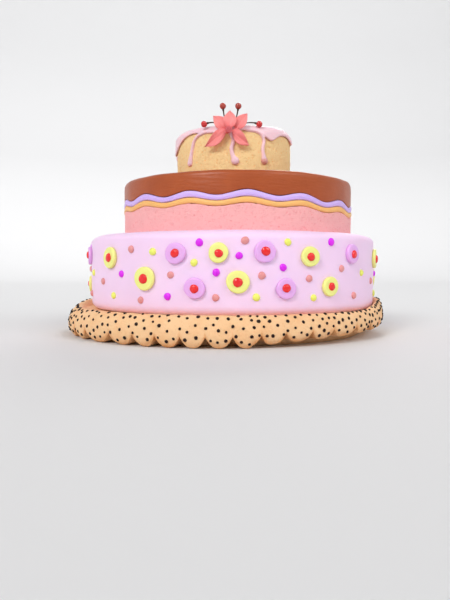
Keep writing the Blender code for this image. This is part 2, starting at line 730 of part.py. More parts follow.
def main():
    for old in list(bpy.data.objects):
        bpy.data.objects.remove(old)

    biscuit = material("biscuit", srgb(250, 203, 146), 0.8)
    pink_icing = material("bottom_icing", srgb(254, 220, 252), 0.5)
    candies = {
        "yellow": material("yellow_candy", srgb(248, 251, 143), 0.4),
        "lilac": material("lilac_candy", srgb(233, 179, 245), 0.4),
    }
    pink_sponge = material("pink_sponge", srgb(255, 183, 184), 0.85)
    apricot_cream = material("apricot_cream", srgb(252, 194, 117), 0.5)
    lavender_cream = material("lavender_cream", srgb(216, 184, 255), 0.5)
    chocolate = material("chocolate", srgb(181, 97, 59), 0.4)
    vanilla_sponge = material("vanilla_sponge", srgb(253, 206, 141), 0.8)
    poured_icing = material("poured_icing", srgb(250, 214, 222), 0.35)
    petal = material("sugar_petal", srgb(255, 151, 150), 0.5)
    heart = material("flower_heart", srgb(214, 96, 110), 0.6)
    berry = material("berry", srgb(205, 45, 45), 0.3)

    make_base(biscuit)
    make_bottom_tier(pink_icing)
    for number, (angle, height, diameter, colour) in enumerate(round_the_cake(DISCS)):
        name = f"candy_disc_{number + 1:02d}"
        make_disc(name, angle, height / 1000, diameter / 1000, candies[colour])

    below = (BOTTOM_TOP + CLEARANCE, 0, 0)
    layers = (
        ("pink_sponge_layer", PINK_TOP, PINK_WAVE, pink_sponge),
        ("apricot_cream_layer", APRICOT_TOP, APRICOT_WAVE, apricot_cream),
        ("lavender_cream_layer", LAVENDER_TOP, LAVENDER_WAVE, lavender_cream),
    )
    for name, top, height_of_wave, finish in layers:
        make_middle_layer(name, below, (top, height_of_wave, LAYER_TILT), finish)
        below = (top + CLEARANCE, height_of_wave, LAYER_TILT)
    make_chocolate_layer(chocolate)

    make_top_tier(vanilla_sponge)
    make_icing(poured_icing)
    make_flower(petal, heart, berry)


main()
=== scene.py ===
"""Looks of a three-tier party cake on its own scalloped biscuit base.

Metres, +Z up, -Y the front. Angles run from the front towards +X. The forms follow the solids
of the cake's model, and add smooth rounds, crumb, all the chips and the candies' own colours.
"""

import bisect
import math
import random
from collections import namedtuple

import bmesh
import bpy
import numpy
from mathutils import Matrix, Vector, noise
from mathutils.bvhtree import BVHTree


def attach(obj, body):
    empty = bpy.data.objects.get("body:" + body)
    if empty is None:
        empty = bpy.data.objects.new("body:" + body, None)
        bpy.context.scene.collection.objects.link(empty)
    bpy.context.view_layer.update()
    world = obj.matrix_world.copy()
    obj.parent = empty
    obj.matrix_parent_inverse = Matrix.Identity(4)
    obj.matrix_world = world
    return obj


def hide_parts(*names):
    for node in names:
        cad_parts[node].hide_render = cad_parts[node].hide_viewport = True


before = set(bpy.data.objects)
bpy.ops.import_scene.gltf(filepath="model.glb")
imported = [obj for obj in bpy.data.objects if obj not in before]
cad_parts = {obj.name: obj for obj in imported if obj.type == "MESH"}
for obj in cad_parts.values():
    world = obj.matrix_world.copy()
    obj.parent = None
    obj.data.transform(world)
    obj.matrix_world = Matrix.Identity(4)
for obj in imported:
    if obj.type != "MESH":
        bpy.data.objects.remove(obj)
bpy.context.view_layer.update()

TURN = 2 * math.pi
CLEARANCE = 0.0003  # what neighbouring pieces keep between them
LIP = 0.0005  # how far a layer's lower and upper lips are rounded

# Biscuit base
BASE_AXIS_X = -0.006
BASE_TOP = 0.0218
SEAT_RADII = (0.06, 0.1, 0.12, 0.124, 0.127)
LEDGE_LENGTH = 0.0055  # from the flat seat out to the rim's crest
CREST_AXIS_X = -0.003
CREST_RADIUS = 0.1335
CREST_HEIGHT = 0.0234
BASE_RADIUS = 0.141
BASE_WIDEST_HEIGHT = 0.0105
BASE_EDGE_RADIUS = 0.1365
EDGE_ROUNDING = (0.0012, 0.0002)  # how far the lobes' lower edge is rounded in and down
NOTCH_LENGTH = 0.0085
BASE_FOOT_RADIUS = 0.120
FRONT_NOTCH_DEGREES = (-51.7, -38.4, -28.9, -21.2, -13.4, -5.9, 2.0, 10.3, 17.8, 26.6, 34.6, 45.6)
BACK_LOBES = 27
LOBE_TIP_HEIGHT = 0.0004
LOBE_NOTCH_DEPTH = 0.0084
LOBE_NOTCH_POWER = 2.5
LOBE_BULGE = 0.0012
LOBE_BULGE_TOP = 0.017
EDGE_LIFT = 0.0064
EDGE_LIFT_DEGREES = (7, 53)
CREST_LIFTS = ((1, 50, 0.0070), (-1, 72, 0.0042))  # side, degrees where it begins, height
CREST_LIFT_SPAN = 28
LIFT_END_DEGREES = (112, 172)
RIM_TOP_ARC = 0.0163

# Chocolate chips: the first ones, and largest, are those of the solid
SOLID_CHIPS = 120
CHIP_COUNT = 470
CHIP_TRIES = 60
CHIP_PLACES_SEED = 7
CHIP_SHAPES_SEED = 3
CHIP_EDGE_GAP = 0.0030
CHIP_TOP_GAP = 0.0020
LARGE_CHIP_RADII = (0.0013, 0.0015)  # least and most
SMALL_CHIP_RADII = (0.0010, 0.0014)
CHIP_HALF_HEIGHT = 0.0009

# What some pieces' points are marked with, from 0 to 1, for their materials
TOAST = "toast"  # how near a point of the biscuit is to a lobe's edge
TOAST_WIDTH = 0.0045
PIT_SHADE_MARK = "pit"  # how deep a point of a sponge lies in an open bubble; the sponge's material paints shade there
PIT_SPACING = 0.0034
PIT_DEPTH = 0.00045
PIT_RIM = 0.28  # a pit's radius and that of its bottom, as shares of the spacing
PIT_BOTTOM = 0.10

# Bottom tier
BOTTOM_RADIUS = 0.127
BOTTOM_TOP = 0.0847
BOTTOM_SHOULDER = (0.011, 0.006)
BOTTOM_FOOT_ROUNDING = 0.0065
PANELS = 3
DISCS = (  # degrees from the front, height and diameter in millimetres, colour
    (-48.9, 65.0, 16.8, "yellow"),
    (-31.1, 49.1, 18.0, "yellow"),
    (-19.3, 67.5, 15.7, "lilac"),
    (-12.8, 42.3, 15.6, "lilac"),
    (-5.0, 67.7, 14.6, "yellow"),
    (1.2, 46.9, 16.8, "yellow"),
    (9.9, 68.5, 16.0, "lilac"),
    (17.1, 41.8, 15.4, "lilac"),
    (25.9, 65.2, 15.2, "yellow"),
    (34.4, 43.0, 15.0, "yellow"),
    (46.1, 67.9, 15.4, "lilac"),
)
DOTS = {  # by colour: degrees from the front and height in millimetres
    "magenta": (
        (-42.7, 52.4), (-22.5, 36.0), (-11.3, 75.1), (-5.8, 53.6), (1.6, 65.6), (16.2, 57.2), (35.1, 76.4),
    ),
    "salmon": (
        (-55.2, 46.4), (-37.6, 71.1), (-33.3, 32.9), (-21.3, 51.8), (-6.0, 35.6),
        (3.5, 76.4), (9.0, 51.4), (25.8, 49.1), (40.4, 56.5), (48.1, 35.5),
    ),
    "lemon": (
        (-47.5, 35.5), (-28.1, 68.9), (-13.1, 60.7), (7.2, 35.8), (17.8, 75.5), (27.6, 34.9), (53.7, 53.2),
    ),
}
DISC_SEED = 100
DISC_THICKNESS = 0.0026
DISC_ROUNDING = 0.0011
DISC_BACK = -0.0002  # its foot reaches this far into the gap behind it
CENTRE_SHARE = 0.42
CENTRE_HEIGHT = 0.0020
CENTRE_SUNK = 0.0003
CENTRE_OFFSET = 0.0005  # the most that a red middle lies off its disc's middle, each way
DOT_SEED = 21
DOT_RADIUS = 0.0028
DOT_HEIGHT = 0.0019
DOT_ROOT = -0.0008

# Middle tier
MIDDLE_AXIS_X = 0.005
MIDDLE_RADIUS = 0.1024
MIDDLE_TOP = 0.1314
MIDDLE_SHOULDER = 0.004
PINK_TOP = 0.1053
APRICOT_TOP = 0.1098
LAVENDER_TOP = 0.1146
PINK_WAVE = 0.0014
APRICOT_WAVE = 0.0017
LAVENDER_WAVE = 0.0022
WAVES = 14
WAVE_PHASE_DEGREES = 3.2
LAYER_TILT = 0.0033
HIGH_SIDE_DEGREES = -40
CREAM_BULGE = 0.0006
CHOCOLATE_BULGE = 0.0002

# Top tier and its icing
TOP_AXIS_X = 0.0015
TOP_RADIUS = 0.0515
TOP_TOP = 0.1740
TOP_SHOULDER = 0.0055
SHOULDER_RADIUS = TOP_RADIUS - TOP_SHOULDER  # the middle of the shoulder's arc
SHOULDER_HEIGHT = TOP_TOP - TOP_SHOULDER
ICING_TOP_THICKNESS = 0.0025
ICING_SIDE_THICKNESS = 0.0018
ICING_TOP = TOP_TOP + CLEARANCE + ICING_TOP_THICKNESS
ICING_INNER_GAP = CLEARANCE * 1.6
ICING_EDGE_HEIGHT = 0.1703
ICING_EDGE_WAVE = 0.0010
# Where the edge runs lower: degrees from the front, width in degrees, drop
ICING_RUNS = ((-86, 21, 0.0125), (36, 8, 0.0048), (74, 9, 0.0030), (135, 12, 0.0035), (205, 10, 0.0045))
ICING_HUMP = (55, 25.783, 0.0020)  # where the top is thicker, in the same way, with its height
ICING_SWELL = 0.0004
ICING_SWELL_SIZE = 0.022
ICING_VOXEL = 0.00055
DRIP_THICKNESS = 0.0019
DRIP_BLOB = 1.75
BLOB_THICKENING = 1.25
RIGHT_DRIP = 2
ROSY_BEAD_SHARE = 1.12

# Flower and berries
PETAL_THICKNESS = 0.0014
PETAL_FOOT_POWER = 0.9
PETAL_TIP_POWER = 1.25
PETAL_END_GAP = 0.004  # how far short of its two points a petal's grid stops, as a share
Petal = namedtuple("Petal", "foot tip width depth curl lean")
PETALS = {
    "petal_left": Petal((-0.0055, 0.1716), (-0.0165, 0.1834), 0.0104, 0.0550, -0.0040, 1.0),
    "petal_right": Petal((0.0020, 0.1714), (0.0123, 0.1856), 0.0098, 0.0550, -0.0040, 1.0),
    "petal_middle": Petal((-0.0026, 0.1712), (-0.0024, 0.1873), 0.0114, 0.0572, -0.0035, 1.0),
    "petal_low_left": Petal((-0.0045, 0.1700), (-0.0237, 0.1578), 0.0104, 0.0560, -0.0048, 0.72),
    "petal_low_right": Petal((-0.0015, 0.1700), (0.0138, 0.1584), 0.0100, 0.0560, -0.0028, 1.38),
}
HEART_PLACE = Vector((-0.0034, -0.0598, 0.1703))
HEART_RADIUS = 0.0027
HEART_BULGE = 0.0009
HEART_SEEDS = 34
SEED_RADIUS = 0.00048
GOLDEN_ANGLE = math.radians(137.5)
# The plug behind the heart: its two ends, its radii at places this far back, and its slope
PLUG_ENDS = (Vector((0, 0.0002, 0)), Vector((0, 0.0104, 0.0004)))
PLUG_RADII = ((0.0004, 0.0022), (0.0020, 0.0019), (0.0050, 0.0016), (0.0085, 0.0022), (0.0100, 0.0026))
PLUG_SLOPE = 0.04
BERRY_RADIUS = 0.0027
BERRY_DIMPLE = (0.0006, 0.0007)  # depth and half width of its crown's dimple
STEM_RADIUS = 0.0006
STEM_ROOT_SHIFT = Vector((0, 0.0006, -0.0016))  # into the icing
# Each berry's colour, its stem's root, the point that the stem bends towards, and the berry's middle
SPRIGS = {
    "sprig_high_left": (
        "dark", (-0.004, -0.0522, 0.1742), (-0.0072, -0.05, 0.181), (-0.0083, -0.049, 0.1918),
    ),
    "sprig_high_right": (
        "dark", (-0.0008, -0.0522, 0.1742), (0.0034, -0.05, 0.181), (0.0046, -0.049, 0.1918),
    ),
    "sprig_left": ("red", (-0.0062, -0.0518, 0.1742), (-0.013, -0.0495, 0.1802), (-0.024, -0.048, 0.1772)),
    "sprig_right": ("red", (0.002, -0.0518, 0.1744), (0.011, -0.0495, 0.18), (0.0222, -0.048, 0.1772)),
}

# Stage: the floor turns up into a low wall
FLOOR_RADIUS = 2.2
WALL_BEND = 1.6
WALL_TOP = 2.1
FLOOR_COLOUR = (0.78, 0.78, 0.785, 1)
WALL_COLOUR = (0.60, 0.60, 0.605, 1)

# The sky's even light, from the horizon to the zenith, and the far lights
HORIZON_LIGHT = 0.82
ZENITH_LIGHT = 0.36
SUNS = (  # name, degrees from the front, elevation, power, spread in degrees
    ("key", -32, 32, 1.9, 20),
    ("fill", 50, 28, 1.65, 40),
    ("back", 165, 32, 0.95, 30),
)

# The eye's place and lens, and how far its horizon lies above the middle of what it sees
CAMERA_PLACE = Vector((-0.0065, -0.55, 0.0554))
FOCAL_PIXELS = 592
FRAME_HEIGHT_PIXELS = 600
HORIZON_ABOVE_CENTRE_PIXELS = -30
SENSOR_HEIGHT = 36


# Materials


def srgb(red, green, blue):
    """Blender's linear colour for a colour given in 0 to 255 steps."""
    linear = []
    for value in (red, green, blue):
        share = value / 255
        linear.append(share / 12.92 if share <= 0.04045 else ((share + 0.055) / 1.055) ** 2.4)
    return (*linear, 1)


def shade(colour, share):
    """The same colour, darker."""
    return tuple(share * value for value in colour[:3]) + (1,)


def set_inputs(node, values):
    """Sets a node's unlinked inputs, given by name."""
    for name, value in values.items():
        node.inputs[name].default_value = value


class Nodes:
    """A material's node tree, with short ways to add what the cake's materials share."""

    def __init__(self, name, roughness, specular=0.5):
        self.material = bpy.data.materials.new(name)
        self.material.use_nodes = True
        self.tree = self.material.node_tree
        self.shader = self.tree.nodes["Principled BSDF"]
        set_inputs(self.shader, {"Roughness": roughness, "Specular IOR Level": specular})
        self.coordinates = self.tree.nodes.new("ShaderNodeTexCoord").outputs["Object"]
        self.normal = None

    def add(self, kind, **settings):
        node = self.tree.nodes.new(kind)
        for key, value in settings.items():
            setattr(node, key, value)
        return node

    def link(self, start, end):
        self.tree.links.new(start, end)

    def through(self, kind, value, socket, **values):
        """A new node that an output is sent through, by the input of this name."""
        node = self.add(kind)
        set_inputs(node, values)
        self.link(value, node.inputs[socket])
        return node.outputs

    def part(self, vector, axis):
        """One of a vector's three numbers."""
        return self.through("ShaderNodeSeparateXYZ", vector, "Vector")[axis]

    def stretch(self, coordinates, scale):
        return self.through("ShaderNodeMapping", coordinates, "Vector", Scale=scale)["Vector"]

    def mark(self, name):
        """What the mesh's points are marked with under this name."""
        return self.add("ShaderNodeAttribute", attribute_name=name).outputs["Fac"]

    def noise(self, size, detail=3.0, roughness=0.55, coordinates=None):
        """Cloudy noise; size is how big its features are, in metres."""
        values = {"Scale": 1 / size, "Detail": detail, "Roughness": roughness}
        place = coordinates or self.coordinates
        return self.through("ShaderNodeTexNoise", place, "Vector", **values)["Fac"]

    def clouds(self, size, detail=2):
        """Noise spread to the whole range from 0 to 1."""
        return self.ramp(self.noise(size, detail), 0.3, 0.7)

    def cells(self, size):
        """Distance to the nearest of many scattered points this far apart."""
        kind = "ShaderNodeTexVoronoi"
        return self.through(kind, self.coordinates, "Vector", Scale=1 / size)["Distance"]

    def ramp(self, value, low, high, first=0.0, last=1.0):
        values = {"From Min": low, "From Max": high, "To Min": first, "To Max": last}
        return self.through("ShaderNodeMapRange", value, "Value", **values)["Result"]

    def product(self, first, second):
        node = self.add("ShaderNodeMath", operation="MULTIPLY")
        self.link(first, node.inputs[0])
        self.link(second, node.inputs[1])
        return node.outputs["Value"]

    def mix(self, share, first, second):
        """A colour between two; each may be a colour or an output."""
        node = self.add("ShaderNodeMix", data_type="RGBA")
        self.link(share, node.inputs["Factor"])
        colours = [socket for socket in node.inputs if socket.type == "RGBA"]
        for socket, colour in zip(colours, (first, second)):
            if isinstance(colour, tuple):
                socket.default_value = colour
            else:
                self.link(colour, socket)
        return next(socket for socket in node.outputs if socket.type == "RGBA")

    def colour(self, share, first, second):
        """Paints the surface with a mix of two colours."""
        self.link(self.mix(share, first, second), self.shader.inputs["Base Color"])

    def bump(self, height, distance, strength=1.0):
        """Relief that the surface's own shape leaves out; several are laid over each other."""
        node = self.add("ShaderNodeBump")
        set_inputs(node, {"Distance": distance, "Strength": strength})
        self.link(height, node.inputs["Height"])
        if self.normal:
            self.link(self.normal, node.inputs["Normal"])
        self.normal = node.outputs["Normal"]
        self.link(self.normal, self.shader.inputs["Normal"])

    def soft(self, weight, radius):
        """Light that goes a little way in, as in icing and crumb."""
        radii = {"Subsurface Radius": (1.0, 0.6, 0.5), "Subsurface Scale": radius}
        set_inputs(self.shader, {"Subsurface Weight": weight, **radii})

    def coat(self, weight, roughness):
        set_inputs(self.shader, {"Coat Weight": weight, "Coat Roughness": roughness})


def crumb_material(name, colour, deep):
    """Sponge: fine crumb, and bubbles and pores with painted shade in a deeper colour; hardly any gloss."""
    nodes = Nodes(name, 0.85, specular=0.25)
    base = nodes.mix(nodes.clouds(0.012), colour, shade(colour, 0.97))
    grain = nodes.ramp(nodes.noise(0.0011, 4, 0.7), 0.35, 0.65)
    unbroken = nodes.ramp(nodes.cells(0.0014), 0.10, 0.34)
    # Painted shade: the pores' dents take up to 0.6 of the deeper colour
    pore_shaded = nodes.mix(nodes.ramp(unbroken, 0, 1, 0.6, 0), base, deep)
    # Painted shade: the open bubbles' pits take up to 0.8 of the deeper colour
    nodes.colour(nodes.ramp(nodes.mark(PIT_SHADE_MARK), 0, 1, 0, 0.8), pore_shaded, deep)
    nodes.bump(grain, 0.00012)
    nodes.bump(unbroken, 0.0003)
    nodes.soft(0.15, 0.002)
    return nodes.material


def biscuit_material():
    """Baked biscuit: sandy grain, fine specks and patchily toasted edges."""
    nodes = Nodes("biscuit", 0.78, specular=0.3)
    patches = nodes.ramp(nodes.noise(0.018, 3), 0.42, 0.75)
    plain = nodes.mix(patches, srgb(253, 207, 158), srgb(248, 193, 140))
    browning = nodes.ramp(nodes.noise(0.009, 3), 0.3, 0.7, 0.35, 0.95)
    base = nodes.mix(nodes.product(nodes.mark(TOAST), browning), plain, srgb(229, 158, 96))
    grain = nodes.noise(0.0013, 4, 0.7)
    nodes.colour(nodes.ramp(grain, 0.28, 0.42, 0.5, 0), base, srgb(226, 164, 102))
    nodes.bump(nodes.noise(0.0045, 3), 0.0005, 0.7)
    nodes.bump(grain, 0.0004)
    nodes.soft(0.12, 0.002)
    return nodes.material


def icing_material(name, colour, roughness, grain, grain_relief):
    """Rolled or piped icing: smooth, slightly waxy, with a faint grain."""
    nodes = Nodes(name, roughness)
    nodes.colour(nodes.clouds(0.03), colour, shade(colour, 0.955))
    nodes.bump(nodes.noise(grain, 3), grain_relief)
    nodes.soft(0.2, 0.003)
    return nodes.material


def candy_material(name, colour, roughness=0.35, coat=0.25):
    """Pressed sugar: a fine sugary grain under a light glaze."""
    nodes = Nodes(name, roughness)
    grain = nodes.noise(0.0007, 3, 0.6)
    pale = tuple(min(1, 0.9 * value + 0.06) for value in colour[:3]) + (1,)
    nodes.colour(nodes.ramp(grain, 0.5, 0.75, 0, 0.5), colour, pale)
    nodes.bump(grain, 0.00012)
    nodes.soft(0.2, 0.0015)
    nodes.coat(coat, 0.2)
    return nodes.material


def glossy_material(name, colour, roughness=0.18, softness=0.15, coat=0.6, clouding=0.1):
    """Jelly candy, berry skin and poured icing: a wet, clear gloss over an even colour."""
    nodes = Nodes(name, roughness, specular=0.4)
    nodes.colour(nodes.clouds(0.004), colour, shade(colour, 1 - clouding))
    nodes.bump(nodes.noise(0.002, 2), 0.00005)
    nodes.soft(softness, 0.002)
    nodes.coat(coat, 0.1)
    return nodes.material


def chip_material():
    nodes = Nodes("chocolate_chip", 0.5, specular=0.25)
    nodes.colour(nodes.clouds(0.0015), srgb(40, 16, 11), srgb(22, 8, 6))
    nodes.bump(nodes.noise(0.0009, 2), 0.0001)
    return nodes.material


def chocolate_material():
    """Milk chocolate ganache: satin, with faint strokes of the palette knife."""
    nodes = Nodes("chocolate", 0.38, specular=0.35)
    nodes.colour(nodes.clouds(0.02, 3), srgb(176, 84, 38), srgb(165, 76, 34))
    strokes = nodes.stretch(nodes.coordinates, (1, 1, 6))
    nodes.bump(nodes.noise(0.012, 3, 0.5, strokes), 0.0006, 0.6)
    nodes.bump(nodes.noise(0.0016, 2), 0.00006)
    nodes.coat(0.12, 0.2)
    return nodes.material


def petal_material():
    """Sugar-paste petal: fine veins along its length, deeper in colour at the foot."""
    nodes = Nodes("sugar_petal", 0.45)
    over_petal = nodes.add("ShaderNodeUVMap").outputs["UV"]
    foot = nodes.ramp(nodes.part(over_petal, "Y"), 0.0, 0.55, 0.55, 0.0)
    nodes.colour(foot, srgb(253, 144, 142), srgb(238, 100, 106))
    veins = nodes.stretch(over_petal, (26, 1.6, 1))
    nodes.bump(nodes.noise(1, 2, 0.5, veins), 0.00035)
    nodes.soft(0.25, 0.002)
    return nodes.material


def stem_material():
    nodes = Nodes("stem", 0.6)
    nodes.colour(nodes.noise(0.002), srgb(52, 30, 24), srgb(74, 46, 30))
    return nodes.material


def floor_material():
    nodes = Nodes("studio_floor", 0.9, specular=0.1)
    nodes.colour(nodes.ramp(nodes.part(nodes.coordinates, "Z"), 0, 0.8), FLOOR_COLOUR, WALL_COLOUR)
    return nodes.material


# Numbers and points


def between(first, second, share):
    return first + (second - first) * share


def even_steps(first, last, steps):
    """Evenly spaced numbers from the first to the last, both among them."""
    return [between(first, last, step / steps) for step in range(steps + 1)]


def smoothstep(share):
    share = min(1, max(0, share))
    return share * share * (3 - 2 * share)


def lumps(place, size, detail=2):
    """Smooth three-dimensional noise from about -1 to 1, with features of this size."""
    return noise.fractal(place / size, 1.0, 2.0, detail, noise_basis="PERLIN_ORIGINAL")


def even_angles(columns):
    return [TURN * column / columns for column in range(columns)]


def polar(axis_x, radius, angle, height):
    return Vector((axis_x + radius * math.sin(angle), -radius * math.cos(angle), height))


def ring(angles, axis_x, radius, height):
    """A closed ring of points, all at one height, or each at its own in a list."""
    heights = height if isinstance(height, list) else [height] * len(angles)
    return [polar(axis_x, radius, *place) for place in zip(angles, heights)]


def arc(middle, reach, all_degrees):
    """Points (radius, height) on an elliptical arc, this many degrees up from the level."""
    turns = [math.radians(degrees) for degrees in all_degrees]
    return [(middle[0] + reach[0] * math.cos(turn), middle[1] + reach[1] * math.sin(turn)) for turn in turns]


def turned(profile, angles, axis_x):
    """Rings through a profile's points (radius, height); a point on the axis stays one point."""
    rings = []
    for radius, height in profile:
        on_axis = [Vector((axis_x, 0, height))]
        rings.append(ring(angles, axis_x, radius, height) if radius else on_axis)
    return rings


def cross_ring(middle, side, other, radius, columns, outline=None):
    """A closed ring in the plane of two directions, round or with an outline's unevenness."""
    points = []
    for around in even_angles(columns):
        reach = radius * outline(around) if outline else radius
        points.append(middle + (side * math.cos(around) + other * math.sin(around)) * reach)
    return points


# Meshes and pieces


def skin(mesh, rings, finish_index=0):
    """Faces over rings of equal length, from one end point to the other."""
    corners = [[mesh.verts.new(point) for point in points] for points in rings]
    for first, second in zip(corners, corners[1:]):
        many = max(len(first), len(second))
        for i in range(many):
            j = (i + 1) % many
            if len(first) == 1:
                face = mesh.faces.new((first[0], second[i], second[j]))
            elif len(second) == 1:
                face = mesh.faces.new((first[i], second[0], first[j]))
            else:
                face = mesh.faces.new((first[i], second[i], second[j], first[j]))
            face.material_index = finish_index


def skinned(rings):
    mesh = bmesh.new()
    skin(mesh, rings)
    return mesh


def placed_skin(mesh, rings, place, finish_index=0):
    """The same for rings that are given in a small piece's own axes."""
    skin(mesh, [[place @ point for point in points] for points in rings], finish_index)


def add_object(name, data):
    made = bpy.data.objects.new(name, data)
    bpy.context.scene.collection.objects.link(made)
    return made


def object_from(mesh, name, finishes):
    """A smooth-shaded object from a bmesh."""
    data = bpy.data.meshes.new(name)
    mesh.to_mesh(data)
    mesh.free()
    for finish in finishes:
        data.materials.append(finish)
    data.shade_smooth()
    return add_object(name, data)


def piece(mesh, name, finishes, slot=None, replaces=(), roughen=None, sharp_degrees=None, mark=None):
    """A piece of the cake from a bmesh.

    Roughen is a function of a point and its normal, the relief there. Mark is an attribute's
    name and a function of a point, its value there.
    """
    bmesh.ops.recalc_face_normals(mesh, faces=mesh.faces)
    marks = [mark[1](vertex.co) for vertex in mesh.verts] if mark else []
    if roughen:
        mesh.normal_update()
        moves = [vertex.normal * roughen(vertex.co, vertex.normal) for vertex in mesh.verts]
        for vertex, move in zip(mesh.verts, moves):
            vertex.co += move
    made = object_from(mesh, name, finishes)
    if mark:
        made.data.attributes.new(mark[0], "FLOAT", "POINT").data.foreach_set("value", marks)
    if sharp_degrees:
        made.data.set_sharp_from_angle(angle=math.radians(sharp_degrees))
    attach(made, "root")
    if replaces:
        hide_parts(*replaces)
    return made


# Biscuit base


def notch_angles():
    """The angles of the notches between the lobes: as seen in front, then even ones."""
    front = [math.radians(degrees) for degrees in FRONT_NOTCH_DEGREES]
    step = (TURN + front[0] - front[-1]) / BACK_LOBES
    return front + [front[-1] + step * (i + 1) for i in range(BACK_LOBES - 1)]


NOTCHES = notch_angles()


def lobe_angles(points):
    """Angles all round the rim, with this many in each lobe, from its notch on."""
    angles = []
    for notch, beyond in zip(NOTCHES, NOTCHES[1:] + [NOTCHES[0] + TURN]):
        angles += [between(notch, beyond, j / points) for j in range(points)]
    return angles


def lobe_share(angle):
    """0 in the middle of a lobe, 1 in the notch between two."""
    unwound = (angle - NOTCHES[0]) % TURN + NOTCHES[0]
    i = bisect.bisect_right(NOTCHES, unwound) - 1
    beyond = NOTCHES[i + 1] if i + 1 < len(NOTCHES) else NOTCHES[0] + TURN
    return abs(2 * (unwound - NOTCHES[i]) / (beyond - NOTCHES[i]) - 1)


def lobe_edge_height(angle):
    return LOBE_TIP_HEIGHT + LOBE_NOTCH_DEPTH * lobe_share(angle) ** LOBE_NOTCH_POWER


def rim_lift(angle, height):
    """How far the uneven rim is lifted at a point that would else be at this height."""
    degrees = math.degrees((angle + TURN / 2) % TURN - TURN / 2)
    start, full = EDGE_LIFT_DEGREES
    edge = EDGE_LIFT * math.sqrt(min(1, max(0, (degrees - start) / (full - start))))
    crest = 0
    for side, begins, lift in CREST_LIFTS:
        crest += lift * smoothstep((side * degrees - begins) / CREST_LIFT_SPAN)
    start, end = LIFT_END_DEGREES
    return between(edge, crest, height / CREST_HEIGHT) * smoothstep((end - abs(degrees)) / (end - start))


def rim_point(angle, height):
    """The point on the rim's outer surface, with the lobes' bulge and the lift."""
    radius, axis_x = BASE_RADIUS, BASE_AXIS_X
    if height > BASE_WIDEST_HEIGHT:
        rise = (height - BASE_WIDEST_HEIGHT) / (CREST_HEIGHT - BASE_WIDEST_HEIGHT)
        inwards = 1 - math.sqrt(max(0, 1 - rise * rise))
        radius = between(BASE_RADIUS, CREST_RADIUS, inwards)
        axis_x = between(BASE_AXIS_X, CREST_AXIS_X, inwards)
    else:
        radius -= (BASE_RADIUS - BASE_EDGE_RADIUS) * (1 - height / BASE_WIDEST_HEIGHT) ** 2.5
    fade = smoothstep((LOBE_BULGE_TOP - height) / LOBE_BULGE_TOP)
    bulge = LOBE_BULGE * fade * (0.5 - lobe_share(angle) ** 2)
    return polar(axis_x, radius + bulge, angle, height + rim_lift(angle, height))


def lifted_edge_height(angle):
    return rim_point(angle, lobe_edge_height(angle)).z


def rim_height(down):
    """The height of the rim's surface this far down along it from the crest."""
    if down > RIM_TOP_ARC:
        return BASE_WIDEST_HEIGHT - (down - RIM_TOP_ARC)
    return between(BASE_WIDEST_HEIGHT, CREST_HEIGHT, math.cos(TURN / 4 * down / RIM_TOP_ARC))


def rim_normal(angle, height):
    around = rim_point(angle + 0.003, height) - rim_point(angle - 0.003, height)
    upwards = rim_point(angle, height + 0.0004) - rim_point(angle, height - 0.0004)
    return around.cross(upwards).normalized()


def seat_rings(angles):
    """The flat seat of the bottom tier, and the ledge from it up to the rim's crest."""
    rings = turned([(radius, BASE_TOP) for radius in (0, *SEAT_RADII)], angles, CREST_AXIS_X)
    crests = [rim_point(angle, CREST_HEIGHT).z for angle in angles]
    for share in even_steps(0, 1, 6)[:-1]:
        heights = [between(BASE_TOP, crest, smoothstep(share)) for crest in crests]
        rings.append(ring(angles, CREST_AXIS_X, CREST_RADIUS - LEDGE_LENGTH * (1 - share), heights))
    return rings


def rim_rings(angles):
    """The rim, from its crest over its widest line down to the lobes' edges."""
    rings = []
    for down in even_steps(0, RIM_TOP_ARC, 16)[:-1]:
        rings.append([rim_point(angle, rim_height(down)) for angle in angles])
    edges = [lobe_edge_height(angle) for angle in angles]
    for share in even_steps(0, 1, 12):
        heights = [between(BASE_WIDEST_HEIGHT, edge, share) for edge in edges]
        rings.append([rim_point(*place) for place in zip(angles, heights)])
    return rings


def underside_rings(angles):
    """From the lobes' edges into the notches, and on down to the flat foot."""
    rings = []
    edges = [lifted_edge_height(angle) for angle in angles]
    for inset, drop in (EDGE_ROUNDING, (NOTCH_LENGTH / 2, 0), (NOTCH_LENGTH, 0)):
        heights = [edge - drop for edge in edges]
        rings.append(ring(angles, BASE_AXIS_X, BASE_EDGE_RADIUS - inset, heights))
    notch_ends = rings[-1]
    foot = ring(angles, BASE_AXIS_X, BASE_FOOT_RADIUS, 0)
    for share in even_steps(0, 1, 10)[1:]:
        rings.append([end.lerp(start, share) for end, start in zip(notch_ends, foot)])
    rings.append([Vector((BASE_AXIS_X, 0, 0))])
    return rings


def biscuit_relief(place, normal):
    """Crags and grain of the baked surface; the flat foot stays flat."""
    if place.z < 0.0003 or normal.z < -0.9:
        return 0
    return 0.00032 * lumps(place, 0.007) + 0.00016 * lumps(place, 0.0022)


def toast_at(place):
    """The lobes' edges are thinnest, and the first to brown in the oven."""
    if math.hypot(place.x - BASE_AXIS_X, place.y) < BASE_EDGE_RADIUS - NOTCH_LENGTH:
        return 0
    angle = math.atan2(place.x - BASE_AXIS_X, -place.y)
    return smoothstep(1 - (place.z - lifted_edge_height(angle)) / TOAST_WIDTH)


def make_base(finish):
    angles = lobe_angles(18)
    mesh = skinned(seat_rings(angles) + rim_rings(angles) + underside_rings(angles))
    looks = {"roughen": biscuit_relief, "sharp_degrees": 50, "mark": (TOAST, toast_at)}
    return piece(mesh, "biscuit", [finish], "biscuit", ["biscuit_base"], **looks)


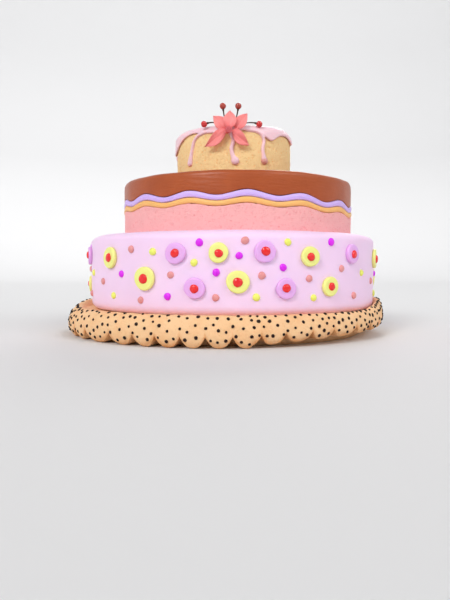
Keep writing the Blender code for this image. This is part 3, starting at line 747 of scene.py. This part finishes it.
def chip_places(count):
    """(angle, height) of chips spread evenly over the rim: each is the best of many tries."""
    draw = numpy.random.default_rng(CHIP_PLACES_SEED)
    angles, downs = numpy.empty(0), numpy.empty(0)
    for _ in range(count):
        tried = TURN * draw.random(CHIP_TRIES)
        edges = numpy.array([lobe_edge_height(angle) for angle in tried])
        lowest = RIM_TOP_ARC + BASE_WIDEST_HEIGHT - edges - CHIP_EDGE_GAP
        tried_downs = CHIP_TOP_GAP + (lowest - CHIP_TOP_GAP) * draw.random(CHIP_TRIES)
        turns = (tried[:, None] - angles + TURN / 2) % TURN - TURN / 2
        gaps = numpy.hypot(BASE_RADIUS * turns, tried_downs[:, None] - downs)
        best = gaps.min(axis=1, initial=1).argmax()
        angles, downs = numpy.append(angles, tried[best]), numpy.append(downs, tried_downs[best])
    return [(angle, rim_height(down)) for angle, down in zip(angles.tolist(), downs.tolist())]


def make_chips(base, finish):
    """Uneven chips of dark chocolate, set about half their height into the biscuit."""
    draw = random.Random(CHIP_SHAPES_SEED)
    corners = [vertex.co for vertex in base.data.vertices]
    surface = BVHTree.FromPolygons(corners, [face.vertices for face in base.data.polygons])
    mesh = bmesh.new()
    for number, (angle, height) in enumerate(chip_places(CHIP_COUNT)):
        radius = draw.uniform(*(LARGE_CHIP_RADII if number < SOLID_CHIPS else SMALL_CHIP_RADII))
        place = surface.find_nearest(rim_point(angle, height))[0]
        outward = rim_normal(angle, height).to_track_quat("Z", "Y").to_matrix().to_4x4()
        spin = Matrix.Rotation(draw.uniform(0, TURN), 4, "Z")
        size = Matrix.Diagonal((radius * draw.uniform(0.85, 1.15), radius, CHIP_HALF_HEIGHT, 1))
        chip = bmesh.ops.create_icosphere(mesh, subdivisions=2, radius=1)["verts"]
        for vertex in chip:
            vertex.co *= 1 + 0.16 * noise.noise(vertex.co * 1.3 + Vector((number, 0, 0)))
            vertex.co = Matrix.Translation(place) @ outward @ spin @ size @ vertex.co
    piece(mesh, "chocolate_chips", [finish])


# Bottom tier and its candies


def round_the_cake(places):
    """The front third's candies, repeated round the back. Degrees become radians."""
    all_round = []
    for panel in range(PANELS):
        for degrees, *facts in places:
            all_round.append((math.radians(degrees) + TURN * panel / PANELS, *facts))
    return all_round


def fondant_relief(place, normal):
    """The slow unevenness of icing smoothed by hand."""
    return 0.00035 * lumps(place, 0.045) + 0.00008 * lumps(place, 0.012)


def make_bottom_tier(finish):
    reach, drop = BOTTOM_SHOULDER
    rounding = BOTTOM_FOOT_ROUNDING
    inner = BOTTOM_RADIUS - reach
    foot = BASE_TOP + CLEARANCE
    wall_top, wall_foot = BOTTOM_TOP - drop, foot + rounding
    profile = [(inner * share, BOTTOM_TOP) for share in (0, 0.3, 0.6, 0.8, 0.87, 0.93, 0.97)]
    profile += arc((inner, wall_top), (reach, drop), even_steps(90, 0, 10))
    profile += [(BOTTOM_RADIUS, height) for height in even_steps(wall_top, wall_foot, 24)[1:-1]]
    profile += arc((BOTTOM_RADIUS - rounding, wall_foot), (rounding, rounding), even_steps(0, -90, 6))
    profile.append((0, foot))
    mesh = skinned(turned(profile, even_angles(240), 0))
    piece(mesh, "bottom_icing", [finish], "bottom_icing", ["bottom_tier"], fondant_relief)


def uneven_outline(draw, amount):
    """A function of the turn round a small candy: how its outline departs from a circle."""
    waves = [(order, draw.uniform(-1, 1) * amount / order, draw.uniform(0, TURN)) for order in (2, 3, 5)]
    return lambda around: 1 + sum(size * math.sin(order * around + phase) for order, size, phase in waves)


def candy_ring(radius, height, outline, columns, middle=Vector((0, 0, 0))):
    """A closed line round a candy, in the candy's own axes."""
    at_height = middle + Vector((0, 0, height))
    return cross_ring(at_height, Vector((1, 0, 0)), Vector((0, 1, 0)), radius, columns, outline)


def dome_rings(radius, height, outline, columns, middle=Vector((0, 0, 0))):
    """Rings of a rounded dome, from its tip down to its foot."""
    rings = [[middle + Vector((0, 0, height))]]
    for degrees in (18, 36, 54, 70, 82, 90):
        turn = math.radians(degrees)
        at_radius, at_height = radius * math.sin(turn) ** 0.9, height * math.cos(turn) ** 0.8
        rings.append(candy_ring(at_radius, at_height, outline, columns, middle))
    return rings


def on_the_wall(angle, height):
    """Where a candy lies on the bottom tier's wall: its own Z points out, its Y up."""
    facing = Matrix.Rotation(angle, 4, "Z") @ Matrix.Rotation(TURN / 4, 4, "X")
    return Matrix.Translation(polar(0, BOTTOM_RADIUS, angle, height)) @ facing


def make_dots(finishes):
    """Small round candies, one piece for each colour."""
    draw = random.Random(DOT_SEED)
    for colour, finish in finishes.items():
        mesh = bmesh.new()
        for angle, height in round_the_cake(DOTS[colour]):
            radius = DOT_RADIUS * draw.uniform(0.94, 1.06)
            rings = dome_rings(radius, DOT_HEIGHT, uneven_outline(draw, 0.10), 24)
            rings.append([Vector((point.x, point.y, DOT_ROOT)) for point in rings[-1]])
            rings.append([Vector((0, 0, DOT_ROOT))])
            placed_skin(mesh, rings, on_the_wall(angle, height / 1000))
        piece(mesh, f"{colour}_dots", [finish])


def make_disc(number, place, radius, finish, slot, red):
    """A flat round candy with softly rounded edges and a glossy red one set in its middle."""
    draw = random.Random(DISC_SEED + number)
    outline = uneven_outline(draw, 0.06)
    rounding = DISC_ROUNDING
    profile = [(radius * 0.3, DISC_THICKNESS * 0.98), (radius * 0.6, DISC_THICKNESS)]
    edge = (radius - rounding, DISC_THICKNESS - rounding)
    profile += arc(edge, (rounding, rounding), (90, 65, 40, 20, 0))
    profile.append((radius * 0.985, DISC_BACK))
    disc = [[Vector((0, 0, DISC_THICKNESS * 0.96))]]
    disc += [candy_ring(at_radius, at_height, outline, 48) for at_radius, at_height in profile]
    disc.append([Vector((0, 0, DISC_BACK))])
    offset = [draw.uniform(-CENTRE_OFFSET, CENTRE_OFFSET) for _ in range(2)]
    middle = Vector((*offset, DISC_THICKNESS - CENTRE_SUNK))
    centre = dome_rings(radius * CENTRE_SHARE, CENTRE_HEIGHT, uneven_outline(draw, 0.10), 32, middle)
    centre.append([middle - Vector((0, 0, CENTRE_SUNK))])
    mesh = bmesh.new()
    placed_skin(mesh, disc, place)
    placed_skin(mesh, centre, place, 1)
    name = f"candy_disc_{number + 1:02d}"
    piece(mesh, f"round_{name}", [finish, red], slot, [name])


def make_discs(finishes, red):
    for number, (angle, height, diameter, colour) in enumerate(round_the_cake(DISCS)):
        place = on_the_wall(angle, height / 1000) @ Matrix.Translation((0, 0, CLEARANCE))
        make_disc(number, place, diameter / 2000, finishes[colour], f"{colour}_candy", red)


# Middle tier


def wave(angle):
    """The layers' common wave, about -1 to 1, a little uneven from crest to crest."""
    shifted = angle - math.radians(WAVE_PHASE_DEGREES)
    return 0.9 * math.cos(WAVES * shifted) + 0.25 * math.sin(5 * shifted + 1)


def pit_at(place):
    """How deep this point lies in one of the sponge's open bubbles, from 0 to 1."""
    nearest = noise.voronoi(place / PIT_SPACING)[0][0]
    return smoothstep((PIT_RIM - nearest) / (PIT_RIM - PIT_BOTTOM))


def crumb_relief(place, normal):
    """Crags and open bubbles of a cut sponge side."""
    return 0.00024 * lumps(place, 0.006) + 0.00014 * lumps(place, 0.0019) - PIT_DEPTH * pit_at(place)


def cream_relief(place, normal):
    return 0.00022 * lumps(place, 0.010)


def chocolate_relief(place, normal):
    """Slow swells, and rounds of the palette knife on the flat top."""
    swell = 0.00035 * lumps(place, 0.03)
    if normal.z < 0.7:
        return swell
    radius = math.hypot(place.x - MIDDLE_AXIS_X, place.y)
    angle = math.atan2(place.y, place.x)
    return swell + 0.00022 * math.sin(radius / 0.0013 + 2.2 * angle + 2.5 * lumps(place, 0.05))


# What a layer is made of: how finely it is drawn, how far its side bulges, its relief and mark
Body = namedtuple("Body", "columns rows top_rows bulge rounded_top relief mark")
SPONGE = Body(960, 32, 3, 0, 0, crumb_relief, (PIT_SHADE_MARK, pit_at))
CREAM = Body(480, 8, 3, CREAM_BULGE, 0, cream_relief, None)
CHOCOLATE = Body(480, 18, 70, CHOCOLATE_BULGE, MIDDLE_SHOULDER, chocolate_relief, None)


def face_height(face, angle, share=1):
    """The height of a face between two layers, at this angle and share of the radius.

    A face is its highest mean height, its wave and its tilt.
    """
    height, height_of_wave, tilt = face
    drop = tilt * (1 - share * math.cos(angle - math.radians(HIGH_SIDE_DEGREES)))
    return height + share * height_of_wave * wave(angle) - drop


def face_middle(face):
    height, _, tilt = face
    return [Vector((MIDDLE_AXIS_X, 0, height - tilt))]


def face_ring(angles, face, radius, share=1):
    return ring(angles, MIDDLE_AXIS_X, radius, [face_height(face, angle, share) for angle in angles])


def layer_rings(below, above, body):
    """From the middle of the lower face out, up the side, and back in over the upper face."""
    angles = even_angles(body.columns)
    rings = [face_middle(below)]
    rings += [face_ring(angles, below, MIDDLE_RADIUS * share, share) for share in (0.6, 0.95)]
    rings.append(face_ring(angles, below, MIDDLE_RADIUS - LIP))
    feet = [face_height(below, angle) + 0.4 * LIP for angle in angles]
    tops = [face_height(above, angle) - body.rounded_top - 0.4 * LIP for angle in angles]
    for share in even_steps(0, 1, body.rows):
        radius = MIDDLE_RADIUS + body.bulge * math.sin(math.pi * share) ** 0.7
        heights = [between(foot, top, share) for foot, top in zip(feet, tops)]
        rings.append(ring(angles, MIDDLE_AXIS_X, radius, heights))
    inner = MIDDLE_RADIUS - max(LIP, body.rounded_top)
    if body.rounded_top:
        reach = (body.rounded_top, body.rounded_top)
        corner = arc((inner, above[0] - body.rounded_top), reach, even_steps(0, 90, 8))
        rings += turned(corner[1:], angles, MIDDLE_AXIS_X)
    else:
        rings.append(face_ring(angles, above, inner))
    for row in range(1, body.top_rows):
        share = 1 - row / body.top_rows
        rings.append(face_ring(angles, above, inner * share, share))
    rings.append(face_middle(above))
    return rings


def make_middle_tier(pink, apricot, lavender, chocolate):
    layers = (  # slot, upper face, body, finish
        ("pink_sponge", (PINK_TOP, PINK_WAVE, LAYER_TILT), SPONGE, pink),
        ("apricot_cream", (APRICOT_TOP, APRICOT_WAVE, LAYER_TILT), CREAM, apricot),
        ("lavender_cream", (LAVENDER_TOP, LAVENDER_WAVE, LAYER_TILT), CREAM, lavender),
        ("chocolate", (MIDDLE_TOP, 0, 0), CHOCOLATE, chocolate),
    )
    below = (BOTTOM_TOP + CLEARANCE, 0, 0)
    for slot, above, body, finish in layers:
        mesh = skinned(layer_rings(below, above, body))
        node = f"{slot}_layer"
        piece(mesh, f"dressed_{node}", [finish], slot, [node], body.relief, mark=body.mark)
        below = (above[0] + CLEARANCE, *above[1:])


# Top tier, icing, drips


def make_top_tier(finish):
    foot = MIDDLE_TOP + CLEARANCE
    wall_foot = foot + 0.8 * LIP
    profile = [(0, foot), (TOP_RADIUS - LIP, foot)]
    profile += [(TOP_RADIUS, height) for height in even_steps(wall_foot, SHOULDER_HEIGHT, 60)]
    shoulder = (SHOULDER_RADIUS, SHOULDER_HEIGHT)
    profile += arc(shoulder, (TOP_SHOULDER, TOP_SHOULDER), even_steps(0, 90, 6)[1:])
    profile.append((0, TOP_TOP))
    mesh = skinned(turned(profile, even_angles(480), TOP_AXIS_X))
    name, node = "vanilla_sponge", "vanilla_sponge_tier"
    piece(mesh, name, [finish], name, [node], crumb_relief, mark=(PIT_SHADE_MARK, pit_at))


def icing_edge(angle):
    """The height of the icing's lower edge, apart from its drips."""
    height = ICING_EDGE_HEIGHT + ICING_EDGE_WAVE * math.sin(7 * angle + 0.4)
    for degrees, width, drop in ICING_RUNS:
        off = (angle - math.radians(degrees) + TURN / 2) % TURN - TURN / 2
        height -= drop * math.exp(-((off / math.radians(width)) ** 2))
    return height


def icing_hump(angle):
    """How much thicker the poured top is at this angle."""
    degrees, width, height = ICING_HUMP
    return height * math.exp(-(((math.degrees(angle) - degrees) / width) ** 2))


def radius_over_sponge(height, gap):
    """The radius of a point this far off the top tier's side or its rounded shoulder."""
    rise = max(0, height - SHOULDER_HEIGHT)
    reach = TOP_SHOULDER + gap
    return SHOULDER_RADIUS + math.sqrt(max(0, reach * reach - rise * rise))


def over_sponge_ring(angles, gap, heights):
    """A ring this far off the sponge, with a height for each angle."""
    places = [(radius_over_sponge(height, gap), angle, height) for angle, height in zip(angles, heights)]
    return [polar(TOP_AXIS_X, *place) for place in places]


def icing_top_rings(angles):
    """The slightly swelling top, from its middle out to where the shoulder begins."""
    rings = [[Vector((TOP_AXIS_X, 0, ICING_TOP))]]
    for share in even_steps(0, 1, 20)[1:]:
        points = ring(angles, TOP_AXIS_X, SHOULDER_RADIUS * share, ICING_TOP)
        for point, angle in zip(points, angles):
            point.z += icing_hump(angle) * share * share + ICING_SWELL * lumps(point, ICING_SWELL_SIZE)
        rings.append(points)
    return rings


def icing_side_rings(angles):
    """Down over the shoulder to the wandering edge, and round it."""
    rings = []
    reach = TOP_SHOULDER + ICING_SIDE_THICKNESS + CLEARANCE
    for turn in (0.25, 0.5, 0.75, 1.0, 1.2):
        fall = math.cos(turn)
        height = between(SHOULDER_HEIGHT, ICING_TOP, fall)
        heights = [max(height + fall * icing_hump(angle), icing_edge(angle) + 0.0012) for angle in angles]
        rings.append(ring(angles, TOP_AXIS_X, SHOULDER_RADIUS + reach * math.sin(turn), heights))
    for share, lift in ((1, 0.0012), (0.85, 0.0004), (0.5, 0), (0, 0.0002)):
        gap = ICING_SIDE_THICKNESS * share + CLEARANCE
        rings.append(over_sponge_ring(angles, gap, [icing_edge(angle) + lift for angle in angles]))
    return rings


def icing_inner_rings(angles):
    """The inside: up the sponge's side and in over its top."""
    lower = [max(SHOULDER_HEIGHT, icing_edge(angle) + 0.0007) for angle in angles]
    rings = [over_sponge_ring(angles, ICING_INNER_GAP, lower)]
    reach = TOP_SHOULDER + ICING_INNER_GAP
    for turn in (1.0, TURN / 8, 0.4, 0):
        radius = SHOULDER_RADIUS + reach * math.sin(turn)
        rings.append(ring(angles, TOP_AXIS_X, radius, SHOULDER_HEIGHT + reach * math.cos(turn)))
    rings.append([Vector((TOP_AXIS_X, 0, SHOULDER_HEIGHT + reach))])
    return rings


def drip_routes():
    """Each drip's half width and its stations, (degrees from the front, height), going down."""
    left = ((-14, 0.1722), (-27, 0.1712), (-36, 0.1690), (-41, 0.1650), (-43.5, 0.1590), (-47, 0.1468))
    middle = ((-5.5, 0.1715), (-2, 0.1665), (-1.2, 0.1620), (-2.8, 0.1568), (-2, 0.1515), (0.5, 0.1462))
    right = ((12, 0.1722), (21, 0.1712), (25.5, 0.1690), (28.3, 0.1640), (27.2, 0.1568), (29.2, 0.1473))
    routes = [(0.0016, left), (0.0020, middle), (0.0016, right)]
    back = ((101, 0.1530), (127, 0.1600), (155, 0.1480), (188, 0.1565), (226, 0.1465), (262, 0.1590))
    for number, (degrees, bottom) in enumerate(back):
        top = 0.1712
        stations = []
        for i in range(5):
            sway = 1.6 * math.sin(1.5 * i + number)
            stations.append((degrees + sway, between(top, bottom, i / 4)))
        routes.append((0.0015 + 0.0002 * (number % 3), tuple(stations)))
    return routes


def smooth_path(stations, steps):
    """Points on a smooth curve through the stations, as (share of the way, degrees, height)."""
    stretched = [stations[0], *stations, stations[-1]]
    path = []
    for i in range(len(stations) - 1):
        before, start, end, after = (Vector(stretched[i + j]) for j in range(4))
        for j in range(steps):
            t = j / steps
            point = 0.5 * (
                2 * start
                + (end - before) * t
                + (2 * before - 5 * start + 4 * end - after) * t * t
                + (3 * start - before - 3 * end + after) * t**3
            )
            path.append(((i + t) / (len(stations) - 1), point.x, point.y))
    path.append((1.0, *stations[-1]))
    return path


def add_bead(mesh, degrees, height, half_width, thickness, subdivisions):
    """A flattened bead of icing on the top tier's side."""
    angle = math.radians(degrees)
    place = polar(TOP_AXIS_X, radius_over_sponge(height, CLEARANCE), angle, height)
    size = Matrix.Diagonal((half_width, thickness, half_width, 1))
    laid = Matrix.Translation(place) @ Matrix.Rotation(angle, 4, "Z") @ size
    bead = bmesh.ops.create_icosphere(mesh, subdivisions=subdivisions, radius=1)["verts"]
    bmesh.ops.transform(mesh, matrix=laid, verts=bead)


def add_drip(mesh, half_width, stations):
    """A drip as a row of overlapping beads that end in a larger one."""
    for share, degrees, height in smooth_path(stations, 9):
        blob = between(1, DRIP_BLOB, smoothstep((share - 0.86) / 0.14))
        swell = blob - 0.12 * math.sin(math.pi * share) + 0.25 * smoothstep((0.2 - share) / 0.2)
        thickening = between(1, BLOB_THICKENING, smoothstep((share - 0.8) / 0.2))
        add_bead(mesh, degrees, height, half_width * swell, DRIP_THICKNESS * thickening, 3)


def melt(icing):
    """Melts the icing's overlapping forms into one smooth skin."""
    remesh = icing.modifiers.new("melt", "REMESH")
    remesh.mode = "VOXEL"
    remesh.voxel_size = ICING_VOXEL
    remesh.use_smooth_shade = True
    settle = icing.modifiers.new("settle", "SMOOTH")
    settle.factor = 0.5
    settle.iterations = 5
    bpy.context.view_layer.update()
    seen = icing.evaluated_get(bpy.context.evaluated_depsgraph_get())
    smooth = bpy.data.meshes.new_from_object(seen)
    finishes = list(icing.data.materials)
    icing.modifiers.clear()
    icing.data = smooth
    if not smooth.materials:
        smooth.materials.append(finishes[0])
    smooth.shade_smooth()


def make_icing(finish):
    angles = even_angles(360)
    mesh = skinned(icing_top_rings(angles) + icing_side_rings(angles) + icing_inner_rings(angles))
    for half_width, stations in drip_routes():
        add_drip(mesh, half_width, stations)
    melt(piece(mesh, "pink_poured_icing", [finish], "poured_icing", ["poured_icing"]))


def make_rosy_bead(finish):
    """The right drip's bead, of a deeper pink than the rest."""
    half_width, stations = drip_routes()[RIGHT_DRIP]
    width = half_width * DRIP_BLOB * ROSY_BEAD_SHARE
    thickness = DRIP_THICKNESS * BLOB_THICKENING * ROSY_BEAD_SHARE
    mesh = bmesh.new()
    add_bead(mesh, *stations[-1], width, thickness, 4)
    piece(mesh, "rosy_bead", [finish])


# Flower and berries


def petal_fullness(share):
    """A petal's width at this share of its length: 1 at its widest, with a slender tip."""
    widest = PETAL_FOOT_POWER / (PETAL_FOOT_POWER + PETAL_TIP_POWER)
    foot = (share / widest) ** PETAL_FOOT_POWER
    return foot * ((1 - share) / (1 - widest)) ** PETAL_TIP_POWER


def petal_point(petal, share, side, lift):
    """A point of a petal: share runs from foot to tip, side from -1 to 1, lift off its middle."""
    start, end = Vector((petal.foot[0], 0, petal.foot[1])), Vector((petal.tip[0], 0, petal.tip[1]))
    along = (end - start).normalized()
    across = Vector((along.z, 0, -along.x))
    lean = petal.lean if side > 0 else 1 / petal.lean
    half = petal.width / 2 * petal_fullness(share**lean)
    swell = math.sin(math.pi * share)
    cup = 0.12 * petal.width * side * side * swell
    crease = -0.0004 * math.exp(-((side / 0.14) ** 2)) * swell
    ripple = 0.0003 * math.sin(7 * share + 3 * side)
    forward = petal.depth + petal.curl * share * share + cup + crease + ripple + lift
    return start.lerp(end, share) + across * (half * side) - Vector((0, forward, 0))


def petal_half_thickness(share, side):
    """Thickest along the middle, thin at the edges and at both ends."""
    towards_edges = 0.25 + 0.75 * (1 - abs(side) ** 4)
    towards_ends = 0.35 + 0.65 * math.sin(math.pi * share) ** 0.5
    return PETAL_THICKNESS / 2 * towards_edges * towards_ends


def grid_outline(grid):
    """The points round the edge of a grid, in order."""
    far_side = [line[-1] for line in grid[1:]]
    near_side = [line[0] for line in grid[-2:0:-1]]
    return grid[0] + far_side + grid[-1][-2::-1] + near_side


def make_petal(name, petal, finish):
    """A pointed, cupped petal with a soft crease and thin edges, facing the front."""
    rows, columns = 26, 17
    mesh = bmesh.new()
    uv = mesh.loops.layers.uv.new("petal")
    over_petal = {}
    outlines = []
    for front in (1, -1):
        sheet = []
        for share in even_steps(0, 1, rows):
            along = between(PETAL_END_GAP, 1 - PETAL_END_GAP, share)
            line = []
            for across in even_steps(0, 1, columns - 1):
                side = between(-1, 1, across)
                place = petal_point(petal, along, side, front * petal_half_thickness(along, side))
                line.append(mesh.verts.new(place))
                over_petal[line[-1]] = (across, share)
            sheet.append(line)
        for line, beyond in zip(sheet, sheet[1:]):
            for j in range(columns - 1):
                mesh.faces.new((line[j], line[j + 1], beyond[j + 1], beyond[j]))
        outlines.append(grid_outline(sheet))
    pairs = list(zip(*outlines))
    for (front, back), (next_front, next_back) in zip(pairs, pairs[1:] + pairs[:1]):
        mesh.faces.new((front, next_front, next_back, back))
    for face in mesh.faces:
        for loop in face.loops:
            loop[uv].uv = over_petal[loop.vert]
    piece(mesh, f"sugar_{name}", [finish], "sugar_petal", [name])


def make_flower_heart(finish):
    """A knob of tiny sugar seeds where the petals meet."""
    mesh = bmesh.new()
    for number in range(HEART_SEEDS):
        share = math.sqrt((number + 0.5) / HEART_SEEDS)
        turn = GOLDEN_ANGLE * number
        forward = HEART_BULGE * math.sqrt(1 - share * share * 0.9) - CLEARANCE
        reach = HEART_RADIUS * share
        place = HEART_PLACE + Vector((reach * math.cos(turn), -forward, reach * math.sin(turn)))
        seed = bmesh.ops.create_icosphere(mesh, subdivisions=2, radius=SEED_RADIUS)["verts"]
        bmesh.ops.translate(mesh, vec=place, verts=seed)
    piece(mesh, "seeded_heart", [finish], "flower_heart", ["flower_heart"])


def make_flower_plug(finish):
    """A short plug behind the heart that holds the flower to the icing."""
    across, up = Vector((1, 0, 0)), Vector((0, 0, 1))
    front, back = (HEART_PLACE + end for end in PLUG_ENDS)
    rings = [[front]]
    for depth, radius in PLUG_RADII:
        middle = HEART_PLACE + Vector((0, depth, depth * PLUG_SLOPE))
        rings.append(cross_ring(middle, across, up, radius, 20))
    rings.append([back])
    piece(skinned(rings), "flower_plug", [finish])


def stem_rings(root, bend, end, side, other):
    """A stem that curves from its root to its end and widens under the berry."""
    rings = [[root]]
    for share in even_steps(0, 1, 16):
        middle = root * (1 - share) ** 2 + bend * 2 * share * (1 - share) + end * share**2
        radius = STEM_RADIUS * (1.05 - 0.25 * share + 0.12 * math.sin(9 * share))
        radius += 0.0005 * smoothstep((share - 0.85) / 0.15)
        rings.append(cross_ring(middle, side, other, radius, 12))
    rings.append([end])
    return rings


def berry_outline(around):
    return 1 + 0.02 * math.sin(3 * around)


def berry_rings(middle, forward, side, other):
    """A slightly uneven ball with a dimple in its crown."""
    dimple_depth, dimple_width = BERRY_DIMPLE
    rings = [[middle - forward * BERRY_RADIUS]]
    for turn in even_steps(0, math.pi, 20)[1:-1]:
        radius = BERRY_RADIUS * math.sin(turn)
        dimple = dimple_depth * math.exp(-((radius / dimple_width) ** 2)) if turn > TURN / 4 else 0
        place = middle - forward * (BERRY_RADIUS * math.cos(turn) + dimple)
        rings.append(cross_ring(place, side, other, radius, 28, berry_outline))
    rings.append([middle + forward * (BERRY_RADIUS - dimple_depth)])
    return rings


def make_sprig(name, route, stem_finish, berry_finish):
    """A thin curved stem and its round berry."""
    root, bend, berry = (Vector(place) for place in route)
    forward = (berry - bend).normalized()
    side = forward.cross(Vector((0, 1, 0))).normalized()
    other = forward.cross(side)
    stem_end = berry - forward * BERRY_RADIUS * 0.9
    mesh = bmesh.new()
    skin(mesh, stem_rings(root + STEM_ROOT_SHIFT, bend, stem_end, side, other), 0)
    skin(mesh, berry_rings(berry, forward, side, other), 1)
    piece(mesh, f"berry_{name}", [stem_finish, berry_finish], "berry", [name])


# Stage, light and camera


def make_stage():
    """A pale floor that curves up into a low wall all round, with no seam to be seen."""
    profile = [(0, 0), (0.3, 0), (0.8, 0), (1.6, 0)]
    profile += arc((FLOOR_RADIUS, WALL_BEND), (WALL_BEND, WALL_BEND), even_steps(-90, 0, 16))
    profile.append((FLOOR_RADIUS + WALL_BEND, WALL_TOP))
    mesh = skinned(turned(profile, even_angles(128), 0))
    object_from(mesh, "studio_floor", [floor_material()])


def add_sun(name, from_degrees, elevation_degrees, power, spread_degrees):
    """A far, soft light. Its degrees are from the front, as the cake's."""
    light = bpy.data.lights.new(name, "SUN")
    light.energy = power
    light.angle = math.radians(spread_degrees)
    elevation = math.radians(elevation_degrees)
    place = polar(0, math.cos(elevation), math.radians(from_degrees), math.sin(elevation))
    add_object(name, light).rotation_euler = (-place).to_track_quat("-Z", "Y").to_euler()


def make_light():
    world = bpy.data.worlds.new("studio")
    world.use_nodes = True
    tree = world.node_tree
    direction = tree.nodes.new("ShaderNodeTexCoord").outputs["Generated"]
    split = tree.nodes.new("ShaderNodeSeparateXYZ")
    upwards = tree.nodes.new("ShaderNodeMapRange")
    set_inputs(upwards, {"To Min": HORIZON_LIGHT, "To Max": ZENITH_LIGHT})
    tree.links.new(direction, split.inputs["Vector"])
    tree.links.new(split.outputs["Z"], upwards.inputs["Value"])
    tree.links.new(upwards.outputs["Result"], tree.nodes["Background"].inputs["Color"])
    bpy.context.scene.world = world
    for sun in SUNS:
        add_sun(*sun)


def make_camera():
    camera = bpy.data.cameras.new("camera")
    camera.sensor_fit = "VERTICAL"
    camera.sensor_height = SENSOR_HEIGHT
    camera.lens = SENSOR_HEIGHT * FOCAL_PIXELS / FRAME_HEIGHT_PIXELS
    camera.clip_start = 0.01
    holder = add_object("camera", camera)
    holder.location = CAMERA_PLACE
    tilt = math.atan(HORIZON_ABOVE_CENTRE_PIXELS / FOCAL_PIXELS)
    holder.rotation_euler = (TURN / 4 + tilt, 0, 0)
    bpy.context.scene.camera = holder


# The cake


def make_lower_cake():
    """The biscuit base and the bottom tier with its candies."""
    make_chips(make_base(biscuit_material()), chip_material())
    make_bottom_tier(icing_material("bottom_icing", srgb(254, 220, 252), 0.5, 0.0012, 0.00005))
    make_dots(
        {
            "magenta": candy_material("magenta_candy", srgb(228, 8, 245)),
            "salmon": candy_material("salmon_candy", srgb(233, 153, 152)),
            "lemon": candy_material("lemon_candy", srgb(245, 250, 112)),
        }
    )
    finishes = {
        "yellow": candy_material("yellow_candy", srgb(249, 251, 146)),
        "lilac": candy_material("lilac_candy", srgb(238, 181, 244)),
    }
    make_discs(finishes, glossy_material("red_candy", srgb(250, 32, 36)))


def make_upper_cake():
    """The middle tier's layers, and the top tier with its icing."""
    make_middle_tier(
        # Its second colour is the painted shade in the sponge's pores and bubbles
        pink=crumb_material("pink_sponge", srgb(255, 187, 185), srgb(251, 161, 162)),
        apricot=icing_material("apricot_cream", srgb(252, 192, 112), 0.45, 0.002, 0.0001),
        lavender=icing_material("lavender_cream", srgb(215, 186, 253), 0.45, 0.002, 0.0001),
        chocolate=chocolate_material(),
    )
    # Its second colour is the painted shade in the sponge's pores and bubbles
    make_top_tier(crumb_material("vanilla_sponge", srgb(255, 221, 162), srgb(255, 197, 130)))
    make_icing(glossy_material("poured_icing", srgb(250, 210, 220), 0.42, 0.3, 0.1, 0.03))
    make_rosy_bead(glossy_material("rosy_icing", srgb(228, 164, 156), 0.3, 0.3, 0.4))


def make_flower():
    """Five petals round a heart, and four berries on stems behind them."""
    petal_finish = petal_material()
    for name, petal in PETALS.items():
        make_petal(name, petal, petal_finish)
    make_flower_heart(candy_material("flower_heart", srgb(228, 112, 120), 0.5, 0.1))
    make_flower_plug(candy_material("flower_plug", srgb(238, 130, 134), 0.5, 0.1))
    stem = stem_material()
    berries = {
        "dark": glossy_material("dark_berry", srgb(176, 62, 48)),
        "red": glossy_material("red_berry", srgb(212, 44, 48)),
    }
    for name, (colour, *route) in SPRIGS.items():
        make_sprig(name, route, stem, berries[colour])


make_camera()
make_light()
make_stage()
bpy.context.scene.view_settings.view_transform = "Standard"
make_lower_cake()
make_upper_cake()
make_flower()
